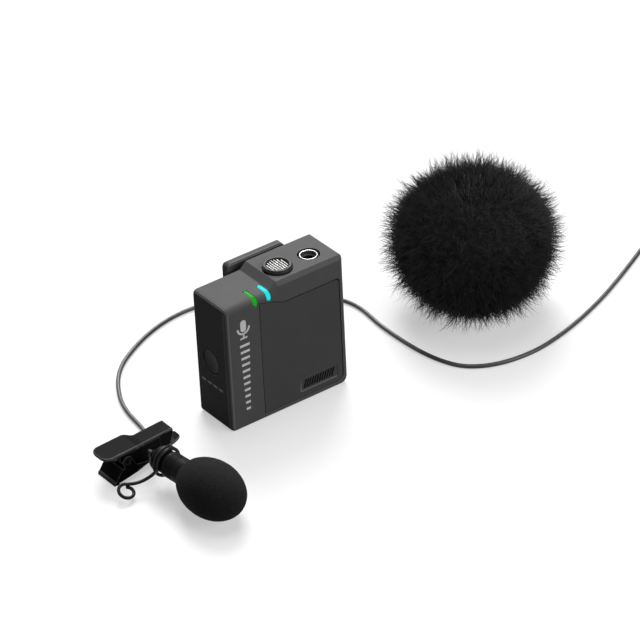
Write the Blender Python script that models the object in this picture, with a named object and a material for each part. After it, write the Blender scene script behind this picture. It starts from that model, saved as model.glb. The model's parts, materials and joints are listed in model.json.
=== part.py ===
"""Wireless lavalier microphone set, laid out as one object.

A clip-on transmitter with its own small microphone stands upright. Beside it lie the lapel
microphone in its spring clip, with its foam windscreen and its lead, and a fur windscreen
that has been taken off. Lengths are in metres. X runs along the transmitter's front face,
Y to the back and Z up. The origin is the middle of the transmitter's bottom face.
"""

import math

import bmesh
import bpy
from mathutils import Matrix, Vector

# ---------------------------------------------------------------- general
FIT_GAP = 0.0003           # gap between pieces that touch
SLIP_GAP = 0.0002          # gap round small pieces that are set into a wall
ROUND_SIDES = 24           # sides of the larger round pieces
SMALL_SIDES = 16           # sides of the smaller round pieces
SCREW_SIDES = 12           # sides of screws and pins
CUT_OVER = 0.001           # how far a cutter runs past the face that it cuts

# ---------------------------------------------------------------- transmitter case
BODY_WIDTH = 0.0423
BODY_DEPTH = 0.0160
BODY_HEIGHT = 0.0440
SHOULDER_DROP = 0.0021     # the left part of the top lies this much lower
SLOPE_FOOT_X = -0.0045     # where the low part of the top ends
SLOPE_RUN = 0.0023
WALL = 0.0012
FRONT_WALL = 0.0018
CORNER_RADIUS = 0.0014
CORNER_SHARES = (1.0, 1.6, 0.4, 0.3, 0.3, 1.0)  # each corner's radius as a share of the one above
LEFT_ROUNDING = 0.0013     # rounding of the front edges, side by side
LOW_TOP_ROUNDING = 0.0020
HEAD_CHAMFER_DEPTH = 0.0010
HEAD_CHAMFER_DROP = 0.00135
BOTTOM_ROUNDING = 0.0007
BACK_ROUNDING = 0.0004

PANEL_LEFT_X = -0.0089
PANEL_MARGIN = 0.0016      # from the panel's edge to the case's right and bottom faces
PANEL_TOP_DROP = 0.0074    # from the case's top to the panel's upper edge
PANEL_LEFT_TOP_DROP = 0.0045
PANEL_TOP_Z = BODY_HEIGHT - PANEL_TOP_DROP
PANEL_LEFT_TOP_Z = BODY_HEIGHT - PANEL_LEFT_TOP_DROP
PANEL_KNEE_X = -0.0003
PANEL_THICKNESS = 0.0008
PANEL_CORNER = 0.0022
PANEL_CORNER_SHARES = (0.1, 1.0, 0.5, 0.6, 0.3, 0.1)
BADGE_WIDTH = 0.0132
BADGE_MARGIN = 0.00205     # from the badge's right end to the panel's right edge
BADGE_LEFT_X = BODY_WIDTH / 2 - PANEL_MARGIN - BADGE_MARGIN - BADGE_WIDTH
BADGE_BOTTOM_Z = 0.0035
BADGE_HEIGHT = 0.0043
BADGE_DEPTH = 0.0003

COVER_THICKNESS = 0.0014
COVER_RECESS = 0.0002      # the back cover lies this much inside the rim

POST_RADIUS = 0.0017
POST_INSET = 0.0031        # from a post's axis to the case's faces
RIGHT_POST_DROP = 0.0175   # the upper right post stands below the jack
RIGHT_POST_Z = BODY_HEIGHT - RIGHT_POST_DROP
SCREW_HEAD_RADIUS = 0.0013
SCREW_HEAD_HEIGHT = 0.0008
SCREW_SHANK_RADIUS = 0.0007
SCREW_LENGTH = 0.0055

GREEN_LIGHT_X = -0.0102
CYAN_LIGHT_X = -0.0054
LIGHT_WIDTH = 0.0013
LIGHT_THICKNESS = 0.0009
LIGHT_BACK_Y = -0.0026     # how far the bars run back on the top
LIGHT_REACH = 0.0026       # how far they run down on the front
LIGHT_LOW_Z = BODY_HEIGHT - SHOULDER_DROP - LIGHT_REACH

# ---------------------------------------------------------------- built-in microphone and jack
MIC_X = 0.0028
MIC_Y = -0.0012
BEZEL_RADIUS = 0.0045
BEZEL_RISE = 0.0012
BEZEL_SEAT_DEPTH = 0.0005
BEZEL_SLEEVE_RADIUS = 0.0036
BEZEL_BORE_RADIUS = 0.0032
BEZEL_SLEEVE_LENGTH = 0.0016
MESH_THICKNESS = 0.0004
MESH_DROP = 0.0004         # the mesh lies this much below the bezel's rim
CAPSULE_HEIGHT = 0.0027

JACK_INSET = 0.00715       # from the jack's axis to the case's right face
JACK_X = BODY_WIDTH / 2 - JACK_INSET
JACK_Y = -0.0011
JACK_HOLE_RADIUS = 0.00345
BUSHING_RADIUS = 0.0030
BUSHING_MOUTH_RADIUS = 0.00235
JACK_BORE_RADIUS = 0.0018
BUSHING_LENGTH = 0.0036
JACK_BODY_WIDTH = 0.0064
JACK_BODY_LENGTH = 0.0115

# ---------------------------------------------------------------- buttons and inner pieces
BUTTON_Y = 0.0006
BUTTON_DROP = 0.0234       # from the case's top to the buttons' axis
BUTTON_Z = BODY_HEIGHT - BUTTON_DROP
MUTE_RADIUS = 0.0040
POWER_RADIUS = 0.0026
BUTTON_RECESS = 0.0001
BUTTON_FLANGE = 0.0009     # how far the flange is wider than the button
BUTTON_FLANGE_THICKNESS = 0.0006
BUTTON_TRAVEL = 0.0004
SWITCH_SIZE = 0.0040

BOARD_THICKNESS = 0.0010
BOARD_BOTTOM_Z = 0.0022
BOARD_TOP_DROP = 0.0054
BOARD_TOP_Z = BODY_HEIGHT - BOARD_TOP_DROP
BOARD_INSET = 0.00525      # from the board's edge to the case's side face, past the screw posts
BOARD_HALF_WIDTH = BODY_WIDTH / 2 - BOARD_INSET
BOARD_FRONT_Y = 0.0024
CAN_WIDTH = 0.0140
CAN_HEIGHT = 0.0120
CAN_DEPTH = 0.0016
CAN_X = -0.0050
CAN_DROP = 0.0170          # from the case's top to the shield's middle
CAN_Z = BODY_HEIGHT - CAN_DROP
BATTERY_INSET = 0.00665    # from the battery's side to the case's side face, past the screw posts
BATTERY_WIDTH = BODY_WIDTH - 2 * BATTERY_INSET
BATTERY_DEPTH = 0.0052
BATTERY_BOTTOM_Z = 0.0022
BATTERY_TOP_DROP = 0.0178  # the battery ends below the jack
BATTERY_HEIGHT = BODY_HEIGHT - BATTERY_TOP_DROP - BATTERY_BOTTOM_Z
CONTACT_COUNT = 4
CONTACT_PITCH = 0.0026
CONTACT_INSET = 0.00785    # from the last contact to the case's right face
CONTACT_FIRST_X = BODY_WIDTH / 2 - CONTACT_INSET - CONTACT_PITCH * (CONTACT_COUNT - 1)
CONTACT_RADIUS = 0.0007
CONTACT_RECESS = 0.0002    # the contacts end this much above the bottom face

# ---------------------------------------------------------------- belt clip
CLIP_X = 0.0034
CLIP_WIDTH = 0.0206
CLIP_TOP_DROP = 0.0010     # the clip's top lies this much below the case's top
CLIP_TOP_Z = BODY_HEIGHT - CLIP_TOP_DROP
CLIP_LOW_Z = 0.0075
CLIP_PLATE_GAP = 0.0031    # from the case's back to the plate
CLIP_PLATE_THICKNESS = 0.0020
CLIP_LIP_HEIGHT = 0.0024
CLIP_LIP_THICKNESS = 0.0007
CLIP_JAW_HEIGHT = 0.0022
CLIP_JAW_SLOPE = 0.0012    # rise of the jaw's upper face towards the plate
CLIP_CORNER = 0.0018
HINGE_DROP = 0.0140
HINGE_Z = BODY_HEIGHT - HINGE_DROP
HINGE_OFFSET = 0.0014      # from the plate's inner face to the pin's axis
KNUCKLE_RADIUS = 0.0011
HINGE_PIN_RADIUS = 0.0005
LUG_FOOT_HALF = 0.0022     # half height of a lug where it leaves its plate
EAR_WIDTH = 0.0020
EAR_INNER = 0.0040         # from the clip's middle to the inner side of its ears
CLIP_SPRING_WIRE = 0.00034
CLIP_SPRING_TURNS = 6
CLIP_SPRING_LEG = 0.0060

# ---------------------------------------------------------------- lapel clip
JAW_Y = -0.0039            # the clip's long axis lies along X at this Y
JAW_PIVOT_X = -0.0576
JAW_PIVOT_Z = 0.0064
JAW_PIN_RADIUS = 0.0006
JAW_BOSS_RADIUS = 0.0017
JAW_HEEL_REACH = 0.0052    # from the pivot back to the heel
JAW_HEEL_X = JAW_PIVOT_X - JAW_HEEL_REACH
JAW_HEEL_HALF_WIDTH = 0.0044
JAW_NOSE_HALF_WIDTH = 0.00265
JAW_SLOPE = 0.182          # rise of the lower jaw's underside per length
JAW_PLATE = 0.0009
JAW_WALL = 0.0007
JAW_WALL_REACH = 0.0068    # from the pivot to the front end of the lower jaw's side walls
JAW_WALL_END_X = JAW_PIVOT_X + JAW_WALL_REACH
JAW_WALL_RISE = 0.0022     # height of the side walls above the plate where they leave the ears
JAW_EAR_REACH = 0.0012     # how far the ears run ahead of the pivot bosses
HEEL_HEIGHT = 0.0046
HEEL_LEAN = 0.70           # how far the heel leans forward for each unit of height
HEEL_FOOT = 0.0016
JAW_REACH = 0.0201         # from the pivot to the lower jaw's tip
JAW_TIP_X = JAW_PIVOT_X + JAW_REACH
JAW_TIP_REACH = 0.0027
JAW_GROOVES = 3            # grip grooves across the lower jaw's nose
JAW_GROOVE_PITCH = 0.0011
JAW_GROOVE_DEPTH = 0.0003
TAB_REACH = 0.0074         # from the pivot back to the tab's tip
TAB_TIP_X = JAW_PIVOT_X - TAB_REACH
TAB_TIP_REACH = 0.0026
TAB_HALF_WIDTH = 0.0041
TAB_TOP_Z = 0.0096
TAB_THICKNESS = 0.0009
TAB_RISE = 0.0004          # the tab is this much higher at its inner end
TAB_FRONT = 0.0034         # from the pivot to the tab's inner end
TAB_END_X = JAW_PIVOT_X + TAB_FRONT
SHOULDER_LENGTH = 0.0034   # from the tab's inner end to the narrow nose
UPPER_HALF_WIDTH = 0.00285
UPPER_BACK_TOP_Z = 0.0092
UPPER_NOSE_TOP_Z = 0.0098
UPPER_REACH = 0.0169       # from the pivot to the upper jaw's nose
UPPER_END_X = JAW_PIVOT_X + UPPER_REACH
UPPER_END_HEIGHT = 0.0018  # height of the nose's end face
UPPER_CHIN = 0.0011        # length of the slope from the end face down to the bite
UPPER_BLOCK_LENGTH = 0.0045
UPPER_ROOF = 0.00117       # thickness of the roof between the skirts
JAW_SPRING_WIRE = 0.0005
JAW_SPRING_TURNS = 3
JAW_TOP_LEG = 0.0052       # reach of the leg that bears on the tab
JAW_LOW_LEG = 0.0008       # reach of the leg that bears on the lower plate

# ---------------------------------------------------------------- lapel microphone
LAV_X = -0.0507            # middle of the neck that the wire ring holds
LAV_Y = -0.0179
LAV_YAW = math.radians(5.7)
LAV_RADIUS = 0.0039
LAV_LENGTH = 0.0215        # from the neck's middle to the front of the body
NECK_RADIUS = 0.0035
NECK_HALF = 0.0018
FLANGE_RADIUS = 0.0039
FLANGE_LENGTH = 0.0011
LAV_SHELL = 0.0006
GRILLE_LENGTH = 0.0016
ELECTRET_RADIUS = 0.0029
ELECTRET_LENGTH = 0.0026
BOOT_RADIUS = 0.0018
BOOT_TIP_RADIUS = 0.0012
BOOT_LENGTH = 0.0027
FOAM_RADIUS = 0.0085
FOAM_LENGTH = 0.0213
FOAM_START = 0.0098        # from the neck's middle to the foam's mouth
FOAM_MOUTH_RADIUS = 0.0050
FOAM_WIDEST = 0.46         # share of the foam's length at which it is widest

HOLDER_WIRE = 0.0010
HOLDER_RING_RADIUS = 0.0043
HOLDER_PITCH = 0.00135
HOLDER_TURNS = 1.42
HOLDER_STEP = 0.0012
HOLDER_START_ANGLE = math.radians(30)
EYE_RADIUS = 0.0022
EYE_X = -0.0635
EYE_Y = -0.0155
EYE_Z = 0.0030
EYE_TILT = math.radians(26)
EYE_START = math.radians(50)
EYE_SWEEP = math.radians(325)
EYE_DROP = 0.0006          # the eye's free end lies this much below the wire that it crosses
# The wire's route, chosen by hand: from the clip's nose to the ring, and from the ring to the eye.
HOLDER_STUB = [(-0.0448, -0.0098, 0.0055), (-0.0452, -0.0130, 0.0082)]
HOLDER_LEG = [(-0.0551, -0.0173, 0.0059), (-0.0562, -0.0163, 0.0046), (-0.0580, -0.0158, 0.0040),
              (-0.0600, -0.0152, 0.0038)]

# ---------------------------------------------------------------- lead and plug
LEAD_DIAMETER = 0.00135
LEAD_LENGTH = 1.20         # whole length from the microphone's boot to the plug
LEAD_STEP = 0.0042
LEAD_THINNING = 3          # points are this many times closer in the tight bend at the boot
LEAD_FALL_POINTS = 12
COIL_PITCH = 0.0020
COIL_LAYER_RISE = 0.0019
COIL_LAYERS = 4
COIL_LOOPS = 17            # whole loops, besides the part loop that turns it to the plug
COIL_STEPS = 24            # points for each loop
COIL_TAIL = 0.0215         # from the last loop to the plug
COIL_TAIL_LEVEL = 0.0060   # length of the tail before it falls
PLUG_SHELL_RADIUS = 0.0031
PLUG_SHELL_LENGTH = 0.0140
PLUG_BOOT_LENGTH = 0.0080
PLUG_BOOT_RADIUS = 0.0018
PLUG_CONTACT_RADIUS = 0.00175
PLUG_SLEEVE_LENGTH = 0.0072
PLUG_RING_LENGTH = 0.0022
PLUG_TIP_LENGTH = 0.0040
PLUG_INSULATOR = 0.0007

# The lead's route over the floor, chosen by hand: first the fall from the boot, then along
# the ground past the clip, behind the transmitter and out to the right.
LEAD_FALL = [(-0.0513, -0.0105, 0.0073), (-0.0508, -0.0097, 0.0047), (-0.0498, -0.0087, 0.0021),
             (-0.0476, -0.0064, 0.0008)]
LEAD_GROUND = [(-0.0448, -0.0012), (-0.0422, 0.0048), (-0.0404, 0.0099), (-0.0390, 0.0191),
               (-0.0371, 0.0257), (-0.0342, 0.0316), (-0.0303, 0.0374), (-0.0253, 0.0424),
               (-0.0192, 0.0465), (-0.0118, 0.0503), (-0.0045, 0.0529), (0.0019, 0.0541),
               (0.0083, 0.0542), (0.0200, 0.0528), (0.0310, 0.0478), (0.0405, 0.0392),
               (0.0458, 0.0290), (0.0475, 0.0209), (0.0464, 0.0093), (0.0462, -0.0008),
               (0.0467, -0.0099), (0.0482, -0.0176), (0.0509, -0.0238), (0.0552, -0.0279),
               (0.0608, -0.0305), (0.0673, -0.0318), (0.0750, -0.0319), (0.0841, -0.0303),
               (0.0943, -0.0274), (0.1058, -0.0231), (0.1155, -0.0187), (0.1261, -0.0134),
               (0.1334, -0.0096), (0.1408, -0.0059)]
COIL_ENTRY = (0.1480, -0.0030)
COIL_ENTRY_HEADING = math.radians(17)
COIL_EXIT_HEADING = math.radians(-145)

# ---------------------------------------------------------------- fur windscreen
FUR_RADIUS = 0.0240
FUR_X = 0.0761
FUR_Y = 0.0007
SOCKET_RADIUS = 0.0062
SOCKET_DEPTH = 0.0080
SOCKET_GRIP_CLEARANCE = 0.0001


# ---------------------------------------------------------------- mesh helpers
def clear_scene():
    for obj in list(bpy.data.objects):
        bpy.data.objects.remove(obj, do_unlink=True)


def material(name, colour, roughness, metallic=0.0):
    mat = bpy.data.materials.get(name)
    if mat is None:
        mat = bpy.data.materials.new(name)
        mat.use_nodes = True
        shader = mat.node_tree.nodes["Principled BSDF"]
        shader.inputs["Base Color"].default_value = (*colour, 1.0)
        shader.inputs["Roughness"].default_value = roughness
        shader.inputs["Metallic"].default_value = metallic
    return mat


CASE_BLACK = ("case_black", (0.045, 0.045, 0.047), 0.5)
PANEL_BLACK = ("panel_black", (0.04, 0.04, 0.042), 0.42)
DARK_PLASTIC = ("dark_plastic", (0.02, 0.02, 0.021), 0.45)
CLIP_BLACK = ("clip_black", (0.012, 0.012, 0.013), 0.35)
BLACK_METAL = ("black_metal", (0.02, 0.02, 0.02), 0.3, 0.8)
SILVER = ("silver", (0.75, 0.75, 0.76), 0.25, 1.0)
GOLD = ("gold", (0.85, 0.62, 0.25), 0.3, 1.0)
SPRING_STEEL = ("spring_steel", (0.4, 0.4, 0.42), 0.3, 1.0)
BOARD_GREEN = ("board_green", (0.01, 0.09, 0.04), 0.5)
CELL_GREY = ("cell_grey", (0.45, 0.46, 0.48), 0.4, 0.3)
LIGHT_CYAN = ("light_cyan", (0.02, 0.85, 0.85), 0.3)
LIGHT_GREEN = ("light_green", (0.01, 0.4, 0.01), 0.3)
FOAM_BLACK = ("foam_black", (0.012, 0.012, 0.012), 0.95)
FUR_BLACK = ("fur_black", (0.008, 0.008, 0.008), 0.95)
RUBBER_BLACK = ("rubber_black", (0.015, 0.015, 0.015), 0.8)
INSULATOR_BLACK = ("insulator_black", (0.01, 0.01, 0.01), 0.5)


def make_object(name, mesh, finish):
    obj = bpy.data.objects.new(name, mesh)
    bpy.context.scene.collection.objects.link(obj)
    mesh.materials.clear()
    mesh.materials.append(material(*finish))
    mesh.shade_smooth()
    mesh.set_sharp_from_angle(angle=math.radians(35))
    return obj


def mesh_from(name, bm):
    bmesh.ops.recalc_face_normals(bm, faces=bm.faces)
    mesh = bpy.data.meshes.new(name)
    bm.to_mesh(mesh)
    bm.free()
    return mesh


def loft(name, rings, finish):
    """Closed body through rings of equally many points, capped at the first and last ring."""
    bm = bmesh.new()
    loops = [[bm.verts.new(point) for point in ring] for ring in rings]
    count = len(rings[0])
    for lower, upper in zip(loops, loops[1:]):
        for i in range(count):
            j = (i + 1) % count
            bm.faces.new((lower[i], lower[j], upper[j], upper[i]))
    bm.faces.new(loops[0])
    bm.faces.new(loops[-1])
    return make_object(name, mesh_from(name, bm), finish)


def arc(centre, radius, start, end, steps):
    """Points on an arc of a plane, both ends included."""
    points = []
    for k in range(steps + 1):
        angle = start + (end - start) * k / steps
        points.append((centre[0] + radius * math.cos(angle), centre[1] + radius * math.sin(angle)))
    return points


def moved_edges(corners, insets):
    """Corners of a polygon whose edge k, from corner k to k + 1, is moved inwards by insets[k]."""
    count = len(corners)
    lines = []
    for k in range(count):
        a = Vector(corners[k])
        along = (Vector(corners[(k + 1) % count]) - a).normalized()
        inward = Vector((-along.y, along.x))
        lines.append((a + inward * insets[k], along))
    moved = []
    for k in range(count):
        (p, d), (q, e) = lines[k - 1], lines[k]
        cross = d.x * e.y - d.y * e.x
        t = ((q - p).x * e.y - (q - p).y * e.x) / cross
        moved.append(p + d * t)
    return moved


def rounded(corners, radii, steps):
    """Outline through the corners, each replaced by an arc of its radius."""
    count = len(corners)
    outline = []
    for k in range(count):
        here = Vector(corners[k])
        back = (Vector(corners[k - 1]) - here).normalized()
        ahead = (Vector(corners[(k + 1) % count]) - here).normalized()
        half = math.acos(max(-1.0, min(1.0, back.dot(ahead)))) / 2
        tangent = radii[k] / math.tan(half)
        middle = here + (back + ahead).normalized() * radii[k] / math.sin(half)
        first = here + back * tangent - middle
        last = here + ahead * tangent - middle
        turn = first.angle_signed(last)
        for s in range(steps + 1):
            spoke = first.copy()
            spoke.rotate(Matrix.Rotation(-turn * s / steps, 2))
            outline.append(tuple(middle + spoke))
    return outline


def in_xz(outline, y):
    return [(x, y, z) for x, z in outline]


def in_yz(outline, x):
    return [(x, y, z) for y, z in outline]


def in_xy(outline, z):
    return [(x, y, z) for x, y in outline]


def box_outline(x0, x1, z0, z1):
    return [(x0, z0), (x1, z0), (x1, z1), (x0, z1)]


def box(name, low, high, finish):
    outline = box_outline(low[0], high[0], low[1], high[1])
    return loft(name, [in_xy(outline, low[2]), in_xy(outline, high[2])], finish)


def turned(name, profile, sides, place, finish):
    """Body turned about the Z axis of place, from a closed profile of (radius, height)."""
    bm = bmesh.new()
    columns = []
    for s in range(sides):
        angle = 2 * math.pi * s / sides
        column = []
        for radius, height in profile:
            if radius == 0 and s:
                column.append(columns[0][len(column)])
            else:
                spot = Vector((radius * math.cos(angle), radius * math.sin(angle), height))
                column.append(bm.verts.new(place @ spot))
        columns.append(column)
    for s in range(sides):
        here, there = columns[s], columns[(s + 1) % sides]
        for k in range(len(profile)):
            n = (k + 1) % len(profile)
            corners = []
            for vert in (here[k], here[n], there[n], there[k]):
                if vert not in corners:
                    corners.append(vert)
            if len(corners) > 2:
                bm.faces.new(corners)
    return make_object(name, mesh_from(name, bm), finish)


def drum(low_radius, high_radius, low, high):
    """Profile of a plain drum or cone between two heights."""
    return [(0, low), (low_radius, low), (high_radius, high), (0, high)]


def tube(name, points, diameter, fineness, finish):
    curve = bpy.data.curves.new(name, "CURVE")
    curve.dimensions = "3D"
    curve.bevel_depth = diameter / 2
    curve.bevel_resolution = fineness
    curve.use_fill_caps = True
    spline = curve.splines.new("POLY")
    spline.points.add(len(points) - 1)
    for spot, point in zip(spline.points, points):
        spot.co = (*point, 1.0)
    curve.materials.append(material(*finish))
    obj = bpy.data.objects.new(name, curve)
    bpy.context.scene.collection.objects.link(obj)
    return obj


def hide(cutter):
    cutter.hide_render = True
    cutter.display_type = "WIRE"
    return cutter


def boolean(target, other, operation):
    step = target.modifiers.new(operation.lower(), "BOOLEAN")
    step.operation = operation
    step.solver = "EXACT"
    step.object = hide(other)


def cut(target, cutter):
    boolean(target, cutter, "DIFFERENCE")


def join(target, other):
    boolean(target, other, "UNION")


def smooth_route(spots, step):
    """Evenly spaced points on a smooth curve through the given spots."""
    spots = [Vector(s) for s in spots]
    padded = [2 * spots[0] - spots[1], *spots, 2 * spots[-1] - spots[-2]]
    fine = []
    for a, b, c, d in zip(padded, padded[1:], padded[2:], padded[3:]):
        for k in range(24):
            t = k / 24
            fine.append(0.5 * (2 * b + (c - a) * t + (2 * a - 5 * b + 4 * c - d) * t ** 2
                               + (3 * b - a - 3 * c + d) * t ** 3))
    fine.append(spots[-1])
    travelled = [0.0]
    for a, b in zip(fine, fine[1:]):
        travelled.append(travelled[-1] + (b - a).length)
    count = max(2, round(travelled[-1] / step))
    route = []
    k = 0
    for i in range(count + 1):
        goal = travelled[-1] * i / count
        while k < len(fine) - 2 and travelled[k + 1] < goal:
            k += 1
        share = (goal - travelled[k]) / (travelled[k + 1] - travelled[k])
        route.append(fine[k].lerp(fine[k + 1], min(1.0, share)))
    return route


def route_length(points):
    return sum((Vector(b) - Vector(a)).length for a, b in zip(points, points[1:]))


# ---------------------------------------------------------------- transmitter: shared outlines
def case_corners():
    left = -BODY_WIDTH / 2
    right = BODY_WIDTH / 2
    low_top = BODY_HEIGHT - SHOULDER_DROP
    return [(left, 0), (right, 0), (right, BODY_HEIGHT), (SLOPE_FOOT_X + SLOPE_RUN, BODY_HEIGHT),
            (SLOPE_FOOT_X, low_top), (left, low_top)]


def case_outline(insets):
    """Outline of the case in X and Z with each edge moved inwards by its inset."""
    corners = moved_edges(case_corners(), insets)
    radii = []
    for k, radius in enumerate(CORNER_SHARES):
        shrink = (insets[k - 1] + insets[k]) / 2
        radii.append(max(0.25 * radius * CORNER_RADIUS, radius * CORNER_RADIUS - shrink))
    return rounded(corners, radii, 3)


def arc_inset(radius, depth):
    """How far a rounded edge stands back at this depth behind the front face."""
    if depth >= radius:
        return 0.0
    return radius - math.sqrt(radius ** 2 - (radius - depth) ** 2)


def front_insets(depth):
    slope = arc_inset((LOW_TOP_ROUNDING + HEAD_CHAMFER_DEPTH) / 2, depth)
    head = HEAD_CHAMFER_DROP * max(0.0, 1 - depth / HEAD_CHAMFER_DEPTH)
    side = arc_inset(BOTTOM_ROUNDING, depth)
    return [side, side, head, slope, arc_inset(LOW_TOP_ROUNDING, depth),
            arc_inset(LEFT_ROUNDING, depth)]


def front_y():
    return -BODY_DEPTH / 2


def back_y():
    return BODY_DEPTH / 2


def cover_back_y():
    return back_y() - COVER_RECESS


def cover_front_y():
    return cover_back_y() - COVER_THICKNESS


def post_places():
    """X and Z of the four screw posts."""
    side = BODY_WIDTH / 2 - POST_INSET
    low_top = BODY_HEIGHT - SHOULDER_DROP
    return [(-side, POST_INSET), (side, POST_INSET), (side, RIGHT_POST_Z),
            (-side, low_top - POST_INSET)]


def along_y(x, z):
    """Place whose Z axis points to the back (+Y)."""
    return Matrix.Translation((x, 0, z)) @ Matrix.Rotation(-math.pi / 2, 4, "X")


def along_x(y, z, facing):
    """Place whose Z axis points along +X or -X."""
    return Matrix.Translation((0, y, z)) @ Matrix.Rotation(facing * math.pi / 2, 4, "Y")


def upright(x, y):
    return Matrix.Translation((x, y, 0))


def panel_outline(grow):
    right = BODY_WIDTH / 2 - PANEL_MARGIN
    corners = [(PANEL_LEFT_X, PANEL_MARGIN), (right, PANEL_MARGIN), (right, PANEL_TOP_Z),
               (PANEL_KNEE_X, PANEL_TOP_Z),
               (PANEL_KNEE_X - 0.5 * (PANEL_KNEE_X - PANEL_LEFT_X),
                PANEL_TOP_Z + 0.62 * (PANEL_LEFT_TOP_Z - PANEL_TOP_Z)),
               (PANEL_LEFT_X, PANEL_LEFT_TOP_Z)]
    corners = moved_edges(corners, [-grow] * len(corners))
    return rounded(corners, [PANEL_CORNER * share for share in PANEL_CORNER_SHARES], 3)


def light_path(depth):
    """Points in Y and Z along a light bar, at a depth below the case's skin."""
    top = BODY_HEIGHT - SHOULDER_DROP - depth
    front = front_y() + depth
    middle = (front_y() + LOW_TOP_ROUNDING, BODY_HEIGHT - SHOULDER_DROP - LOW_TOP_ROUNDING)
    bend = [(front, top)]
    if depth < LOW_TOP_ROUNDING:
        bend = arc(middle, LOW_TOP_ROUNDING - depth, math.pi / 2, math.pi, 5)
    return [(LIGHT_BACK_Y, top), *bend, (front, LIGHT_LOW_Z)]


def bar_outline(skin_depth, inner_depth, grow):
    outer = light_path(skin_depth)
    inner = light_path(inner_depth)
    outer[0] = (outer[0][0] + grow, outer[0][1])
    inner[0] = (inner[0][0] + grow, inner[0][1])
    outer[-1] = (outer[-1][0], outer[-1][1] - grow)
    inner[-1] = (inner[-1][0], inner[-1][1] - grow)
    return outer + inner[::-1]


# ---------------------------------------------------------------- transmitter: case
def build_housing():
    depths = [0.0, 0.00012, 0.0004, 0.00075, 0.0010, 0.0014, 0.0020]
    rings = [in_xz(case_outline(front_insets(d)), front_y() + d) for d in depths]
    flat = [0.0] * 6
    rings.append(in_xz(case_outline(flat), back_y() - BACK_ROUNDING))
    rings.append(in_xz(case_outline([BACK_ROUNDING] * 6), back_y()))
    rings.append(in_xz(case_outline([WALL] * 6), back_y()))
    rings.append(in_xz(case_outline([WALL] * 6), front_y() + FRONT_WALL))
    housing = loft("housing", rings, CASE_BLACK)
    post_top = cover_front_y() - FIT_GAP
    post_foot = front_y() + PANEL_THICKNESS + 2 * FIT_GAP
    bore = SCREW_SHANK_RADIUS + SLIP_GAP
    bore_end = post_top - SCREW_LENGTH
    post = [(0, post_foot), (POST_RADIUS, post_foot), (POST_RADIUS, post_top), (bore, post_top),
            (bore, bore_end), (0, bore_end)]
    for k, (x, z) in enumerate(post_places()):
        join(housing, turned(f"cut_post_{k}", post, SMALL_SIDES, along_y(x, z), CASE_BLACK))
    pocket_end = front_y() + PANEL_THICKNESS + FIT_GAP
    pocket = loft("cut_panel_pocket", [in_xz(panel_outline(SLIP_GAP), front_y() - CUT_OVER),
                                       in_xz(panel_outline(SLIP_GAP), pocket_end)], CASE_BLACK)
    cut(housing, pocket)
    for name, x in (("green", GREEN_LIGHT_X), ("cyan", CYAN_LIGHT_X)):
        half = LIGHT_WIDTH / 2 + SLIP_GAP / 2
        slot = bar_outline(-CUT_OVER, FRONT_WALL + FIT_GAP, SLIP_GAP)
        cut(housing, loft(f"cut_{name}_slot", [in_yz(slot, x - half), in_yz(slot, x + half)],
                          CASE_BLACK))
    seat_floor = BODY_HEIGHT - BEZEL_SEAT_DEPTH
    inside = BODY_HEIGHT - WALL - CUT_OVER
    sleeve = BEZEL_SLEEVE_RADIUS + SLIP_GAP
    seat = [(0, inside), (sleeve, inside), (sleeve, seat_floor), (BEZEL_RADIUS + SLIP_GAP, seat_floor),
            (BEZEL_RADIUS + SLIP_GAP, BODY_HEIGHT + CUT_OVER), (0, BODY_HEIGHT + CUT_OVER)]
    cut(housing, turned("cut_bezel_seat", seat, ROUND_SIDES, upright(MIC_X, MIC_Y), CASE_BLACK))
    cut(housing, turned("cut_jack_hole",
                        drum(JACK_HOLE_RADIUS, JACK_HOLE_RADIUS, inside, BODY_HEIGHT + CUT_OVER),
                        ROUND_SIDES, upright(JACK_X, JACK_Y), CASE_BLACK))
    for name, radius, facing in (("mute", MUTE_RADIUS, -1), ("power", POWER_RADIUS, 1)):
        wide = radius + SLIP_GAP
        reach = drum(wide, wide, BODY_WIDTH / 2 - WALL - CUT_OVER, BODY_WIDTH / 2 + CUT_OVER)
        cut(housing, turned(f"cut_{name}_hole", reach, ROUND_SIDES,
                            along_x(BUTTON_Y, BUTTON_Z, facing), CASE_BLACK))
    for k in range(CONTACT_COUNT):
        wide = CONTACT_RADIUS + SLIP_GAP
        hole = drum(wide, wide, -CUT_OVER, WALL + CUT_OVER)
        cut(housing, turned(f"cut_contact_{k}", hole, SMALL_SIDES, upright(contact_x(k), 0),
                            CASE_BLACK))


def build_front_panel():
    rings = [in_xz(panel_outline(0), front_y()),
             in_xz(panel_outline(0), front_y() + PANEL_THICKNESS)]
    panel = loft("front_panel", rings, PANEL_BLACK)
    badge = box("cut_badge", (BADGE_LEFT_X, front_y() - CUT_OVER, BADGE_BOTTOM_Z),
                (BADGE_LEFT_X + BADGE_WIDTH, front_y() + BADGE_DEPTH, BADGE_BOTTOM_Z + BADGE_HEIGHT),
                PANEL_BLACK)
    cut(panel, badge)


def hinge_y():
    return back_y() + CLIP_PLATE_GAP - HINGE_OFFSET


def lug_outline(radius, foot_y, foot_half):
    """Side view of a hinge lug: a round end about the pin and a foot on the back cover."""
    round_end = arc((hinge_y(), HINGE_Z), radius, -math.pi / 2, math.pi / 2, 8)
    return [(foot_y, HINGE_Z - foot_half), *round_end, (foot_y, HINGE_Z + foot_half)]


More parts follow.
